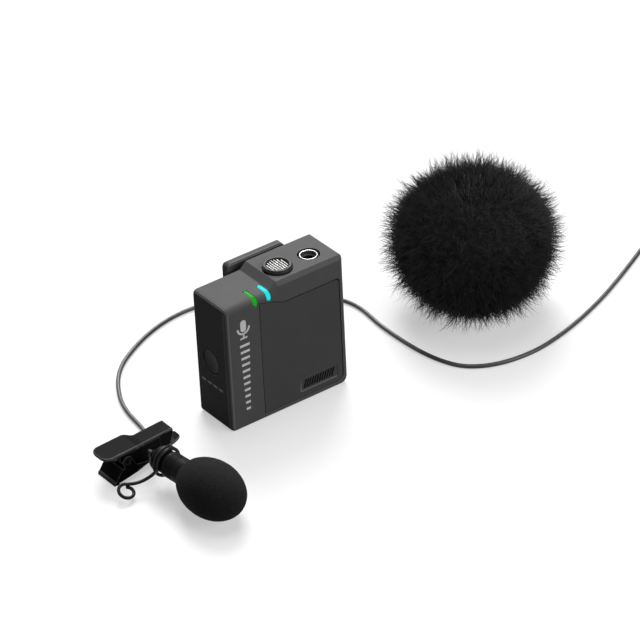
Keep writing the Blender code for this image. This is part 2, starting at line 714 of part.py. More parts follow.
def build_back_cover():
    insets = [WALL + SLIP_GAP] * 6
    rings = [in_xz(case_outline(insets), cover_front_y()),
             in_xz(case_outline(insets), cover_back_y())]
    cover = loft("back_cover", rings, CASE_BLACK)
    lug_start = EAR_INNER + EAR_WIDTH + FIT_GAP
    for k, side in enumerate((-1, 1)):
        near = CLIP_X + side * lug_start
        far = CLIP_X + side * (lug_start + EAR_WIDTH)
        outline = lug_outline(KNUCKLE_RADIUS, cover_back_y() - COVER_THICKNESS / 2, LUG_FOOT_HALF)
        lug = loft(f"cut_lug_{k}", [in_yz(outline, min(near, far)), in_yz(outline, max(near, far))],
                   CASE_BLACK)
        join(cover, lug)
    cut(cover, hinge_bore("cut_lug_bore"))
    for k, (x, z) in enumerate(post_places()):
        head = SCREW_HEAD_RADIUS + SLIP_GAP
        shank = SCREW_SHANK_RADIUS + SLIP_GAP
        head_floor = cover_back_y() - SCREW_HEAD_HEIGHT - FIT_GAP
        profile = [(0, cover_front_y() - CUT_OVER), (shank, cover_front_y() - CUT_OVER),
                   (shank, head_floor), (head, head_floor), (head, back_y() + CUT_OVER),
                   (0, back_y() + CUT_OVER)]
        cut(cover, turned(f"cut_screw_hole_{k}", profile, SMALL_SIDES, along_y(x, z), CASE_BLACK))


def hinge_bore(name):
    wide = HINGE_PIN_RADIUS + SLIP_GAP
    reach = CLIP_WIDTH
    place = Matrix.Translation((CLIP_X, 0, 0)) @ along_x(hinge_y(), HINGE_Z, 1)
    return turned(name, drum(wide, wide, -reach, reach), SMALL_SIDES, place, CASE_BLACK)


def build_screws():
    top = cover_back_y() - FIT_GAP / 2
    under = top - SCREW_HEAD_HEIGHT
    tip = cover_front_y() - FIT_GAP - SCREW_LENGTH + 2 * FIT_GAP
    profile = [(0, tip), (SCREW_SHANK_RADIUS, tip + SCREW_SHANK_RADIUS), (SCREW_SHANK_RADIUS, under),
               (SCREW_HEAD_RADIUS, under), (SCREW_HEAD_RADIUS, top), (0.0006, top),
               (0.0006, top - SCREW_HEAD_HEIGHT / 2), (0, top - SCREW_HEAD_HEIGHT / 2)]
    for k, (x, z) in enumerate(post_places()):
        turned(f"cover_screw_{k + 1}", profile, SCREW_SIDES, along_y(x, z), BLACK_METAL)


def build_lights():
    for name, x, finish in (("status_light_green", GREEN_LIGHT_X, LIGHT_GREEN),
                            ("status_light_cyan", CYAN_LIGHT_X, LIGHT_CYAN)):
        outline = bar_outline(0, LIGHT_THICKNESS, 0)
        loft(name, [in_yz(outline, x - LIGHT_WIDTH / 2), in_yz(outline, x + LIGHT_WIDTH / 2)], finish)


# ---------------------------------------------------------------- transmitter: microphone and jack
def build_onboard_mic():
    rim = BODY_HEIGHT + BEZEL_RISE
    flange_low = BODY_HEIGHT - BEZEL_SEAT_DEPTH + SLIP_GAP
    sleeve_low = flange_low - BEZEL_SLEEVE_LENGTH
    soft = 0.0003
    profile = [(BEZEL_BORE_RADIUS, sleeve_low), (BEZEL_SLEEVE_RADIUS, sleeve_low),
               (BEZEL_SLEEVE_RADIUS, flange_low), (BEZEL_RADIUS, flange_low),
               (BEZEL_RADIUS, rim - soft), (BEZEL_RADIUS - soft, rim),
               (BEZEL_BORE_RADIUS + soft, rim), (BEZEL_BORE_RADIUS, rim - soft)]
    place = upright(MIC_X, MIC_Y)
    turned("mic_bezel", profile, ROUND_SIDES, place, DARK_PLASTIC)
    mesh_radius = BEZEL_BORE_RADIUS - SLIP_GAP / 2
    mesh_top = rim - MESH_DROP
    mesh_low = mesh_top - MESH_THICKNESS
    turned("mic_mesh", drum(mesh_radius, mesh_radius, mesh_low, mesh_top), ROUND_SIDES, place, SILVER)
    capsule_top = mesh_low - FIT_GAP
    turned("onboard_capsule",
           drum(mesh_radius, mesh_radius, capsule_top - CAPSULE_HEIGHT, capsule_top),
           ROUND_SIDES, place, SILVER)


def build_jack():
    place = upright(JACK_X, JACK_Y)
    low = BODY_HEIGHT - BUSHING_LENGTH
    funnel = BODY_HEIGHT - 0.0012
    profile = [(JACK_BORE_RADIUS, low), (BUSHING_RADIUS, low), (BUSHING_RADIUS, BODY_HEIGHT),
               (BUSHING_MOUTH_RADIUS, BODY_HEIGHT), (BUSHING_MOUTH_RADIUS, funnel),
               (JACK_BORE_RADIUS, funnel)]
    turned("jack_bushing", profile, ROUND_SIDES, place, SILVER)
    top = low - FIT_GAP
    half = JACK_BODY_WIDTH / 2
    body = box("jack_body", (JACK_X - half, JACK_Y - half, top - JACK_BODY_LENGTH),
               (JACK_X + half, JACK_Y + half, top), DARK_PLASTIC)
    bore = drum(JACK_BORE_RADIUS, JACK_BORE_RADIUS, top - JACK_BODY_LENGTH + WALL, top + CUT_OVER)
    cut(body, turned("cut_jack_bore", bore, SMALL_SIDES, place, DARK_PLASTIC))


# ---------------------------------------------------------------- transmitter: buttons and inside
def button_profile(radius):
    """Profile along the axis that points out of the case, with the case's middle at zero."""
    face = BODY_WIDTH / 2 - BUTTON_RECESS
    flange_top = BODY_WIDTH / 2 - WALL - FIT_GAP
    flange_low = flange_top - BUTTON_FLANGE_THICKNESS
    soft = 0.0003
    wide = radius + BUTTON_FLANGE
    return [(0, flange_low), (wide, flange_low), (wide, flange_top), (radius, flange_top),
            (radius, face - soft), (radius - soft, face), (0, face)]


def switch_reach():
    """Distance from the case's middle to the free end of a switch's plunger."""
    flange_low = BODY_WIDTH / 2 - WALL - FIT_GAP - BUTTON_FLANGE_THICKNESS
    return flange_low - BUTTON_TRAVEL - FIT_GAP


def build_buttons():
    for name, radius, facing in (("mute", MUTE_RADIUS, -1), ("power", POWER_RADIUS, 1)):
        button = turned(f"{name}_button", button_profile(radius), ROUND_SIDES,
                        along_x(BUTTON_Y, BUTTON_Z, facing), DARK_PLASTIC)
        button.data.transform(Matrix.Translation((0, -BUTTON_Y, -BUTTON_Z)))
        button.location = (0, BUTTON_Y, BUTTON_Z)
        half = SWITCH_SIZE / 2
        inner = facing * (BOARD_HALF_WIDTH + FIT_GAP)
        outer = facing * switch_reach()
        box(f"{name}_switch", (min(inner, outer), BUTTON_Y - half, BUTTON_Z - half),
            (max(inner, outer), BUTTON_Y + half, BUTTON_Z + half), SILVER)


def contact_x(k):
    return CONTACT_FIRST_X + CONTACT_PITCH * k


def build_inside():
    box("circuit_board", (-BOARD_HALF_WIDTH, BOARD_FRONT_Y, BOARD_BOTTOM_Z),
        (BOARD_HALF_WIDTH, BOARD_FRONT_Y + BOARD_THICKNESS, BOARD_TOP_Z), BOARD_GREEN)
    can_front = BOARD_FRONT_Y + BOARD_THICKNESS + FIT_GAP
    box("radio_shield", (CAN_X - CAN_WIDTH / 2, can_front, CAN_Z - CAN_HEIGHT / 2),
        (CAN_X + CAN_WIDTH / 2, can_front + CAN_DEPTH, CAN_Z + CAN_HEIGHT / 2), SILVER)
    cell_front = front_y() + FRONT_WALL + FIT_GAP
    corners = box_outline(-BATTERY_WIDTH / 2, BATTERY_WIDTH / 2, BATTERY_BOTTOM_Z,
                          BATTERY_BOTTOM_Z + BATTERY_HEIGHT)
    outline = rounded(corners, [0.0012] * 4, 3)
    loft("battery", [in_xz(outline, cell_front), in_xz(outline, cell_front + BATTERY_DEPTH)],
         CELL_GREY)
    carrier_low = WALL + FIT_GAP
    reach = CONTACT_RADIUS + SLIP_GAP
    carrier = box("charging_contacts", (contact_x(0) - reach, -reach, carrier_low),
                  (contact_x(CONTACT_COUNT - 1) + reach, BOARD_FRONT_Y + BOARD_THICKNESS,
                   BOARD_BOTTOM_Z - FIT_GAP), GOLD)
    for k in range(CONTACT_COUNT):
        pin = drum(CONTACT_RADIUS, CONTACT_RADIUS, CONTACT_RECESS,
                   (carrier_low + BOARD_BOTTOM_Z - FIT_GAP) / 2)
        join(carrier, turned(f"cut_pin_{k}", pin, SCREW_SIDES, upright(contact_x(k), 0), GOLD))


# ---------------------------------------------------------------- belt clip
def build_belt_clip():
    inner = back_y() + CLIP_PLATE_GAP
    outer = inner + CLIP_PLATE_THICKNESS
    jaw = back_y() + FIT_GAP
    lip_low = CLIP_TOP_Z - CLIP_LIP_HEIGHT
    lip = inner - CLIP_LIP_THICKNESS
    soft = 0.0005
    side = [(inner, CLIP_LOW_Z + CLIP_JAW_HEIGHT + CLIP_JAW_SLOPE), (inner, lip_low - CLIP_LIP_THICKNESS),
            (lip, lip_low), (lip, CLIP_TOP_Z - soft), (lip + soft, CLIP_TOP_Z),
            (outer - soft, CLIP_TOP_Z), (outer, CLIP_TOP_Z - soft), (outer, CLIP_LOW_Z + soft),
            (outer - soft, CLIP_LOW_Z), (jaw + soft, CLIP_LOW_Z), (jaw, CLIP_LOW_Z + soft),
            (jaw, CLIP_LOW_Z + CLIP_JAW_HEIGHT)]
    low = CLIP_X - CLIP_WIDTH / 2
    high = CLIP_X + CLIP_WIDTH / 2
    clip = loft("belt_clip", [in_yz(side, low), in_yz(side, high)], CASE_BLACK)
    for k, corner_x in enumerate((low, high)):
        sign = 1 if k == 0 else -1
        pivot = (corner_x + sign * CLIP_CORNER, CLIP_TOP_Z - CLIP_CORNER)
        start = math.pi if k == 0 else 0.0
        bend = arc(pivot, CLIP_CORNER, start, math.pi / 2, 5)
        over = CUT_OVER
        outline = [*bend, (pivot[0], CLIP_TOP_Z + over), (corner_x - sign * over, CLIP_TOP_Z + over),
                   (corner_x - sign * over, pivot[1])]
        corner = loft(f"cut_clip_corner_{k}", [in_xz(outline, jaw - over), in_xz(outline, outer + over)],
                      CASE_BLACK)
        cut(clip, corner)
    for k, sign in enumerate((-1, 1)):
        near = CLIP_X + sign * EAR_INNER
        far = CLIP_X + sign * (EAR_INNER + EAR_WIDTH)
        round_end = arc((hinge_y(), HINGE_Z), KNUCKLE_RADIUS, math.pi / 2, 3 * math.pi / 2, 8)
        root = inner + CLIP_PLATE_THICKNESS / 2
        outline = [(root, HINGE_Z + LUG_FOOT_HALF), *round_end, (root, HINGE_Z - LUG_FOOT_HALF)]
        ear = loft(f"cut_ear_{k}", [in_yz(outline, min(near, far)), in_yz(outline, max(near, far))],
                   CASE_BLACK)
        join(clip, ear)
    cut(clip, hinge_bore("cut_ear_bore"))


def build_clip_pin():
    half = EAR_INNER + 2 * EAR_WIDTH + FIT_GAP
    place = Matrix.Translation((CLIP_X, 0, 0)) @ along_x(hinge_y(), HINGE_Z, 1)
    turned("belt_clip_pin", drum(HINGE_PIN_RADIUS, HINGE_PIN_RADIUS, -half, half), SCREW_SIDES,
           place, SPRING_STEEL)


def torsion_spring(name, axis_x0, axis_x1, turns, wire, radius, leg_a, leg_b, place, finish):
    """Spring wound about the X axis of place, with a straight leg from each end."""
    points = [leg_a]
    steps = 9
    total = turns * steps
    start = math.atan2(leg_a[2], leg_a[1]) - math.acos(min(1.0, radius / math.hypot(*leg_a[1:])))
    end = math.atan2(leg_b[2], leg_b[1]) + math.acos(min(1.0, radius / math.hypot(*leg_b[1:])))
    sweep = end - start
    while sweep > -2 * math.pi * (turns - 1):
        sweep -= 2 * math.pi
    for k in range(total + 1):
        angle = start + sweep * k / total
        x = axis_x0 + (axis_x1 - axis_x0) * k / total
        points.append((x, radius * math.cos(angle), radius * math.sin(angle)))
    points.append(leg_b)
    return tube(name, [place @ Vector(p) for p in points], wire, 1, finish)


def build_clip_spring():
    radius = HINGE_PIN_RADIUS + SLIP_GAP + CLIP_SPRING_WIRE / 2 + 0.00005
    half = EAR_INNER - FIT_GAP - CLIP_SPRING_WIRE
    plate = HINGE_OFFSET - CLIP_SPRING_WIRE / 2 - SLIP_GAP
    cover = -(hinge_y() - back_y()) + CLIP_SPRING_WIRE / 2 + SLIP_GAP
    torsion_spring("belt_clip_spring", -half, half, CLIP_SPRING_TURNS, CLIP_SPRING_WIRE, radius,
                   (-half, cover, CLIP_SPRING_LEG), (half, plate, CLIP_SPRING_LEG),
                   Matrix.Translation((CLIP_X, hinge_y(), HINGE_Z)), SPRING_STEEL)


# ---------------------------------------------------------------- lapel clip
def jaw_under(x):
    """Height of the lower jaw's underside."""
    return max(0.0, JAW_SLOPE * (x - JAW_HEEL_X))


def jaw_top(x):
    return jaw_under(x) + JAW_PLATE


def slab_ring(x, half_width, low, high, soft):
    """Cross-section of a jaw at X: a rectangle about the clip's axis with cut corners."""
    outline = [(-half_width + soft, low), (half_width - soft, low), (half_width, low + soft),
               (half_width, high - soft), (half_width - soft, high), (-half_width + soft, high),
               (-half_width, high - soft), (-half_width, low + soft)]
    return [(x, JAW_Y + y, z) for y, z in outline]


def tip_stations(tip_x, reach, half_width, inward, steps):
    """X and half width at steps along a rounded tip, from its end inwards."""
    stations = []
    for k in range(steps + 1):
        angle = math.pi / 2 * k / steps
        width = half_width * (0.35 + 0.65 * math.sin(angle))
        stations.append((tip_x + inward * reach * (1 - math.cos(angle)), width))
    return stations


def jaw_ear_end():
    """X of the front end of the lower jaw's ears, where its sides begin to taper."""
    return JAW_PIVOT_X + JAW_BOSS_RADIUS + JAW_EAR_REACH


def wall_half_width(x):
    """Half width of the lower jaw: wide at the heel, narrow at the nose."""
    nose_start = JAW_TIP_X - JAW_TIP_REACH - JAW_GROOVES * JAW_GROOVE_PITCH
    share = min(1.0, max(0.0, (x - jaw_ear_end()) / (nose_start - jaw_ear_end())))
    return JAW_HEEL_HALF_WIDTH + (JAW_NOSE_HALF_WIDTH - JAW_HEEL_HALF_WIDTH) * share


def build_lower_jaw():
    soft = 0.0002
    rings = []
    plain_end = JAW_TIP_X - JAW_TIP_REACH
    for x in (JAW_HEEL_X + 0.0003, JAW_PIVOT_X, JAW_WALL_END_X - 0.0035, JAW_WALL_END_X, plain_end):
        rings.append(slab_ring(x, wall_half_width(x), jaw_under(x), jaw_top(x), soft))
    tip = tip_stations(JAW_TIP_X, JAW_TIP_REACH, JAW_NOSE_HALF_WIDTH, -1, 5)
    for x, half in tip[-2::-1]:
        rings.append(slab_ring(x, half, jaw_under(x) + soft / 2, jaw_top(x) - soft / 2, soft))
    jaw = loft("lapel_clip_lower_jaw", rings, CLIP_BLACK)
    wide = JAW_HEEL_HALF_WIDTH
    heel_top = JAW_HEEL_X + HEEL_LEAN * HEEL_HEIGHT
    heel = [(JAW_HEEL_X, 0), (JAW_HEEL_X + HEEL_FOOT, 0), (heel_top + JAW_PLATE, HEEL_HEIGHT),
            (heel_top, HEEL_HEIGHT)]
    join(jaw, loft("cut_heel", [in_xz(heel, JAW_Y - wide), in_xz(heel, JAW_Y + wide)], CLIP_BLACK))
    ear_start = JAW_HEEL_X + HEEL_FOOT / 2
    ear_end = jaw_ear_end()
    boss = arc((JAW_PIVOT_X, JAW_PIVOT_Z), JAW_BOSS_RADIUS, 0.1, math.pi - 0.1, 8)
    middle = JAW_PLATE / 2
    ear = [(ear_start, jaw_under(ear_start) + middle), (ear_end, jaw_under(ear_end) + middle),
           (ear_end, jaw_top(ear_end) + JAW_WALL_RISE), *boss,
           (heel_top + HEEL_FOOT / 2, HEEL_HEIGHT - soft)]
    for k, sign in enumerate((-1, 1)):
        outer = JAW_Y + sign * wide
        inner = JAW_Y + sign * (wide - JAW_WALL)
        join(jaw, loft(f"cut_jaw_ear_{k}", [in_xz(ear, min(outer, inner)), in_xz(ear, max(outer, inner))],
                       CLIP_BLACK))
        rings = []
        for x, rise in ((ear_end - soft, JAW_WALL_RISE - soft), (JAW_WALL_END_X, soft)):
            half = wall_half_width(x) - soft / 10
            near, far = sorted((JAW_Y + sign * half, JAW_Y + sign * (half - JAW_WALL)))
            low = jaw_under(x) + middle
            high = jaw_top(x) + rise
            rings.append([(x, near, low), (x, far, low), (x, far, high), (x, near, high)])
        join(jaw, loft(f"cut_jaw_wall_{k}", rings, CLIP_BLACK))
    cut(jaw, jaw_bore("cut_lower_bore"))
    for k in range(JAW_GROOVES):
        x = JAW_TIP_X - JAW_TIP_REACH - JAW_GROOVE_PITCH * k
        top = jaw_top(x)
        notch = [(x - JAW_GROOVE_DEPTH, top + soft), (x, top - JAW_GROOVE_DEPTH),
                 (x + JAW_GROOVE_DEPTH, top + soft)]
        cut(jaw, loft(f"cut_groove_{k}", [in_xz(notch, JAW_Y - wide), in_xz(notch, JAW_Y + wide)],
                      CLIP_BLACK))


def jaw_bore(name):
    wide = JAW_PIN_RADIUS + SLIP_GAP
    reach = 2 * JAW_HEEL_HALF_WIDTH
    return turned(name, drum(wide, wide, -reach, reach), SMALL_SIDES, jaw_place(), CLIP_BLACK)


def jaw_place():
    """Place on the jaws' pivot whose Z axis points to the back (+Y)."""
    return (Matrix.Translation((JAW_PIVOT_X, JAW_Y, JAW_PIVOT_Z))
            @ Matrix.Rotation(-math.pi / 2, 4, "X"))


def build_upper_jaw():
    soft = 0.0003
    rings = []
    under = TAB_TOP_Z - TAB_THICKNESS
    for x, half in tip_stations(TAB_TIP_X, TAB_TIP_REACH, TAB_HALF_WIDTH, 1, 5):
        rings.append(slab_ring(x, half, under, TAB_TOP_Z, soft))
    high = TAB_TOP_Z + TAB_RISE
    rings.append(slab_ring(TAB_END_X, TAB_HALF_WIDTH, under, high, soft))
    for share in (0.25, 0.5, 0.75, 1.0):
        ease = share * share * (3 - 2 * share)
        half = TAB_HALF_WIDTH + (UPPER_HALF_WIDTH - TAB_HALF_WIDTH) * ease
        top = high + (UPPER_BACK_TOP_Z - high) * ease
        rings.append(slab_ring(TAB_END_X + SHOULDER_LENGTH * share, half, top - UPPER_ROOF, top, soft))
    block_x = UPPER_END_X - UPPER_BLOCK_LENGTH
    block_top = UPPER_NOSE_TOP_Z - (UPPER_NOSE_TOP_Z - UPPER_BACK_TOP_Z) / 3
    rings.append(slab_ring(block_x - soft / 3, UPPER_HALF_WIDTH, block_top - UPPER_ROOF, block_top, soft))
    chin_x = UPPER_END_X - UPPER_CHIN
    rings.append(slab_ring(block_x, UPPER_HALF_WIDTH, jaw_top(block_x) + FIT_GAP, block_top, soft))
    rings.append(slab_ring(chin_x, UPPER_HALF_WIDTH, jaw_top(chin_x) + FIT_GAP, UPPER_NOSE_TOP_Z, soft))
    rings.append(slab_ring(UPPER_END_X, UPPER_HALF_WIDTH, UPPER_NOSE_TOP_Z - UPPER_END_HEIGHT,
                           UPPER_NOSE_TOP_Z, soft))
    jaw = loft("lapel_clip_upper_jaw", rings, CLIP_BLACK)
    skirt_end = block_x + UPPER_BLOCK_LENGTH / 4
    boss = arc((JAW_PIVOT_X, JAW_PIVOT_Z), JAW_BOSS_RADIUS, math.pi, 1.5 * math.pi, 5)
    inside = UPPER_BACK_TOP_Z - TAB_THICKNESS / 2
    edge = soft / 6
    boss_end = JAW_PIVOT_X + JAW_BOSS_RADIUS * 0.7
    skirt = [(JAW_PIVOT_X - JAW_BOSS_RADIUS, inside), *boss, (boss_end, jaw_top(boss_end) + 2 * FIT_GAP),
             (skirt_end, jaw_top(skirt_end) + FIT_GAP + edge), (skirt_end, inside)]
    for k, sign in enumerate((-1, 1)):
        outer = JAW_Y + sign * (UPPER_HALF_WIDTH - edge)
        inner = JAW_Y + sign * (UPPER_HALF_WIDTH - JAW_WALL)
        join(jaw, loft(f"cut_skirt_{k}", [in_xz(skirt, min(outer, inner)), in_xz(skirt, max(outer, inner))],
                       CLIP_BLACK))
    cut(jaw, jaw_bore("cut_upper_bore"))
    pivot = Vector((JAW_PIVOT_X, JAW_Y, JAW_PIVOT_Z))
    jaw.data.transform(Matrix.Translation(-pivot))
    jaw.location = pivot


def build_jaw_pin():
    half = JAW_HEEL_HALF_WIDTH + 0.0002
    turned("lapel_clip_pin", drum(JAW_PIN_RADIUS, JAW_PIN_RADIUS, -half, half), SMALL_SIDES,
           jaw_place(), SPRING_STEEL)


def build_jaw_spring():
    radius = JAW_PIN_RADIUS + SLIP_GAP + JAW_SPRING_WIRE / 2 + 0.0001
    half = UPPER_HALF_WIDTH - JAW_WALL - FIT_GAP - JAW_SPRING_WIRE
    turn = Matrix.Rotation(math.pi / 2, 4, "Z")
    place = Matrix.Translation((JAW_PIVOT_X, JAW_Y, JAW_PIVOT_Z)) @ turn
    tab_under = TAB_TOP_Z - TAB_THICKNESS - JAW_PIVOT_Z - JAW_SPRING_WIRE / 2 - FIT_GAP
    low = jaw_top(JAW_PIVOT_X - JAW_LOW_LEG) + JAW_SPRING_WIRE / 2 + 2 * FIT_GAP - JAW_PIVOT_Z
    torsion_spring("lapel_clip_spring", -half, half, JAW_SPRING_TURNS, JAW_SPRING_WIRE, radius,
                   (-half, JAW_TOP_LEG, tab_under), (half, JAW_LOW_LEG, low), place, SPRING_STEEL)


# ---------------------------------------------------------------- lapel microphone
def lav_place():
    """Place on the microphone's axis: its Z axis runs forward, out of the front."""
    return (Matrix.Translation((LAV_X, LAV_Y, FOAM_RADIUS)) @ Matrix.Rotation(LAV_YAW, 4, "Z")
            @ Matrix.Rotation(math.pi / 2, 4, "X"))


def lav_point(forward):
    return lav_place() @ Vector((0, 0, forward))


def build_lavalier():
    place = lav_place()
    rear = -NECK_HALF - FLANGE_LENGTH
    inner = LAV_RADIUS - LAV_SHELL
    soft = 0.0003
    profile = [(0, rear), (FLANGE_RADIUS - soft, rear), (FLANGE_RADIUS, rear + soft),
               (FLANGE_RADIUS, -NECK_HALF), (NECK_RADIUS, -NECK_HALF), (NECK_RADIUS, NECK_HALF),
               (LAV_RADIUS, NECK_HALF), (LAV_RADIUS, LAV_LENGTH), (inner, LAV_LENGTH),
               (inner, LAV_LENGTH - ELECTRET_LENGTH - 2 * FIT_GAP),
               (0, LAV_LENGTH - ELECTRET_LENGTH - 2 * FIT_GAP)]
    turned("lavalier_body", profile, ROUND_SIDES, place, DARK_PLASTIC)
    turned("electret_capsule", drum(ELECTRET_RADIUS, ELECTRET_RADIUS,
                                    LAV_LENGTH - ELECTRET_LENGTH - FIT_GAP, LAV_LENGTH - FIT_GAP),
           SMALL_SIDES, place, SILVER)
    grille_low = LAV_LENGTH + FIT_GAP
    grille_top = grille_low + GRILLE_LENGTH
    grille = [(0, grille_low), (LAV_RADIUS, grille_low), (LAV_RADIUS, grille_top - 2 * soft),
              (LAV_RADIUS - 2 * soft, grille_top), (0, grille_top)]
    turned("lavalier_grille", grille, ROUND_SIDES, place, BLACK_METAL)
    boot_top = rear - FIT_GAP
    boot = drum(BOOT_TIP_RADIUS, BOOT_RADIUS, boot_top - BOOT_LENGTH, boot_top)
    turned("lavalier_strain_relief", boot, SMALL_SIDES, place, RUBBER_BLACK)


def build_foam():
    bore = LAV_RADIUS + SLIP_GAP
    bore_end = LAV_LENGTH + GRILLE_LENGTH + 3 * FIT_GAP
    end = FOAM_START + FOAM_LENGTH
    middle = FOAM_START + FOAM_WIDEST * FOAM_LENGTH
    profile = [(0, bore_end), (bore, bore_end), (bore, FOAM_START), (FOAM_MOUTH_RADIUS, FOAM_START)]
    lowest = math.asin(FOAM_MOUTH_RADIUS / FOAM_RADIUS)
    steps = 6
    for k in range(1, steps):
        angle = lowest + (math.pi / 2 - lowest) * k / steps
        reach = (middle - FOAM_START) / math.cos(lowest)
        profile.append((FOAM_RADIUS * math.sin(angle), middle - reach * math.cos(angle)))
    for k in range(steps + 2):
        angle = math.pi / 2 * k / (steps + 1)
        radius = FOAM_RADIUS * math.cos(angle) if k <= steps else 0
        profile.append((radius, middle + (end - middle) * math.sin(angle)))
    turned("foam_windscreen", profile, ROUND_SIDES, lav_place(), FOAM_BLACK)


def ring_point(angle, forward):
    flat = Vector((HOLDER_RING_RADIUS * math.cos(angle), HOLDER_RING_RADIUS * math.sin(angle), 0))
    return lav_place() @ (flat + Vector((0, 0, forward)))


def build_holder_wire():
    foot_x = HOLDER_STUB[0][0]
    foot_y = JAW_Y - wall_half_width(foot_x) - FIT_GAP
    foot_z = jaw_under(foot_x) + JAW_PLATE / 2
    points = [(foot_x, foot_y, foot_z), (foot_x, foot_y - HOLDER_WIRE, foot_z), *HOLDER_STUB]
    steps = round(HOLDER_TURNS * 20)
    for k in range(steps + 1):
        angle = HOLDER_START_ANGLE + 2 * math.pi * HOLDER_TURNS * k / steps
        forward = HOLDER_PITCH * (k / steps - 0.5) * HOLDER_TURNS
        points.append(ring_point(angle, forward))
    points += HOLDER_LEG
    eye = Vector((EYE_X, EYE_Y, EYE_Z))
    along = Vector((1, 0, 0))
    across = Vector((0, math.cos(EYE_TILT), math.sin(EYE_TILT)))
    steps = 15
    for k in range(steps + 1):
        angle = EYE_START + EYE_SWEEP * k / steps
        drop = Vector((0, 0, EYE_DROP * (k / steps) ** 2))
        points.append(eye + EYE_RADIUS * (math.cos(angle) * along + math.sin(angle) * across) - drop)
    tube("holder_wire", smooth_route(points, HOLDER_STEP), HOLDER_WIRE, 2, BLACK_METAL)


# ---------------------------------------------------------------- lead
def lead_route():
    floor = LEAD_DIAMETER / 2
    boot_end = -NECK_HALF - FLANGE_LENGTH - FIT_GAP - BOOT_LENGTH - FIT_GAP
    start = lav_point(boot_end)
    after = lav_point(boot_end - LEAD_DIAMETER)
    heading = Vector((math.cos(COIL_ENTRY_HEADING), math.sin(COIL_ENTRY_HEADING), 0))
    end = Vector((*COIL_ENTRY, floor))
    ground = [(x, y, floor) for x, y in LEAD_GROUND]
    spots = [start, after, *LEAD_FALL, *ground, end - heading * LEAD_DIAMETER, end]
    fine = smooth_route(spots, LEAD_STEP / LEAD_THINNING)
    return fine[:LEAD_FALL_POINTS] + fine[LEAD_FALL_POINTS:-1:LEAD_THINNING] + [fine[-1]]


def spiral_radius(turn, turns, inner, outer):
    """Radius after this many turns: it falls and rises by one pitch a turn, layer by layer."""
    layer = min(COIL_LAYERS - 1, int(turn / turns))
    share = turn / turns - layer
    if layer % 2:
        share = 1 - share
    return outer + (inner - outer) * share


def spiral_height(turn, turns):
    """Height of the strand: it climbs one layer in the half turn round each reversal."""
    height = LEAD_DIAMETER / 2
    for reversal in range(1, COIL_LAYERS):
        share = min(1.0, max(0.0, (turn - reversal * turns) / 0.5 + 0.5))
        height += COIL_LAYER_RISE * share * share * (3 - 2 * share)
    return height


def coil_points(mean_radius):
    """The coil from the lead's end to the plug, turning clockwise as seen from above."""
    start_angle = COIL_ENTRY_HEADING + math.pi / 2
    exit_angle = COIL_EXIT_HEADING + math.pi / 2
    total = COIL_LOOPS + (start_angle - exit_angle) / (2 * math.pi) % 1
    turns = total / COIL_LAYERS
    inner = mean_radius - turns * COIL_PITCH / 2
    outer = mean_radius + turns * COIL_PITCH / 2
    entry = Vector((*COIL_ENTRY, LEAD_DIAMETER / 2))
    heading = Vector((math.cos(COIL_ENTRY_HEADING), math.sin(COIL_ENTRY_HEADING), 0))
    right = Vector((heading.y, -heading.x, 0))
    begin = entry + heading * (FIT_GAP + LEAD_DIAMETER)
    centre = begin + right * outer
    points = [entry + heading * FIT_GAP]
    steps = math.ceil(total * COIL_STEPS)
    for k in range(steps + 1):
        turn = total * k / steps
        angle = start_angle - 2 * math.pi * turn
        radius = spiral_radius(turn, turns, inner, outer)
        spot = Vector((math.cos(angle), math.sin(angle), 0)) * radius
        points.append(Vector((centre.x, centre.y, spiral_height(turn, turns))) + spot)
    return points


def coil_tail(points):
    """From the last loop outwards and down to the height of the plug's axis."""
    heading = Vector((math.cos(COIL_EXIT_HEADING), math.sin(COIL_EXIT_HEADING), 0))
    last = points[-1]
    tail = []
    hold = COIL_TAIL_LEVEL
    straight = 2 * LEAD_DIAMETER
    steps = 8
    tail.append(last + heading * hold / 2)
    for k in range(steps + 1):
        share = k / steps
        along = hold + (COIL_TAIL - straight - hold) * share
        ease = share * share * (3 - 2 * share)
        drop = (last.z - PLUG_SHELL_RADIUS) * ease
        tail.append(last + heading * along - Vector((0, 0, drop)))
    end = last + heading * COIL_TAIL
    end.z = PLUG_SHELL_RADIUS
    tail.append(end)
    return tail


def whole_coil(mean_radius):
    loops = coil_points(mean_radius)
    return loops + coil_tail(loops)


def least_gap(points):
    """Smallest clear distance between parts of the tube that are not neighbours."""
    skip = math.ceil(0.4 * COIL_STEPS)
    best = 1.0
    for i in range(len(points)):
        for j in range(i + skip, len(points)):
            best = min(best, (points[i] - points[j]).length)
    return best - LEAD_DIAMETER


def build_lead():
    laid = lead_route()
    tube("lead", laid, LEAD_DIAMETER, 2, RUBBER_BLACK)
    wanted = LEAD_LENGTH - route_length(laid)
    low = COIL_LOOPS * COIL_PITCH / COIL_LAYERS / 2
    high = 10 * low
    for _ in range(30):
        mean_radius = (low + high) / 2
        if route_length(whole_coil(mean_radius)) < wanted:
            low = mean_radius
        else:
            high = mean_radius
    points = whole_coil(mean_radius)
    print("lead laid", round(route_length(laid), 4), "coiled", round(route_length(points), 4),
          "mean radius", round(mean_radius, 5), "least gap", round(least_gap(points), 5))
    tube("lead_coil", points, LEAD_DIAMETER, 1, RUBBER_BLACK)
    return points


def plug_place(end):
    """Place on the plug's axis: its Z axis runs from the boot to the tip."""
    heading = Matrix.Rotation(COIL_EXIT_HEADING, 4, "Z") @ Matrix.Rotation(math.pi / 2, 4, "Y")
    return Matrix.Translation(end) @ heading


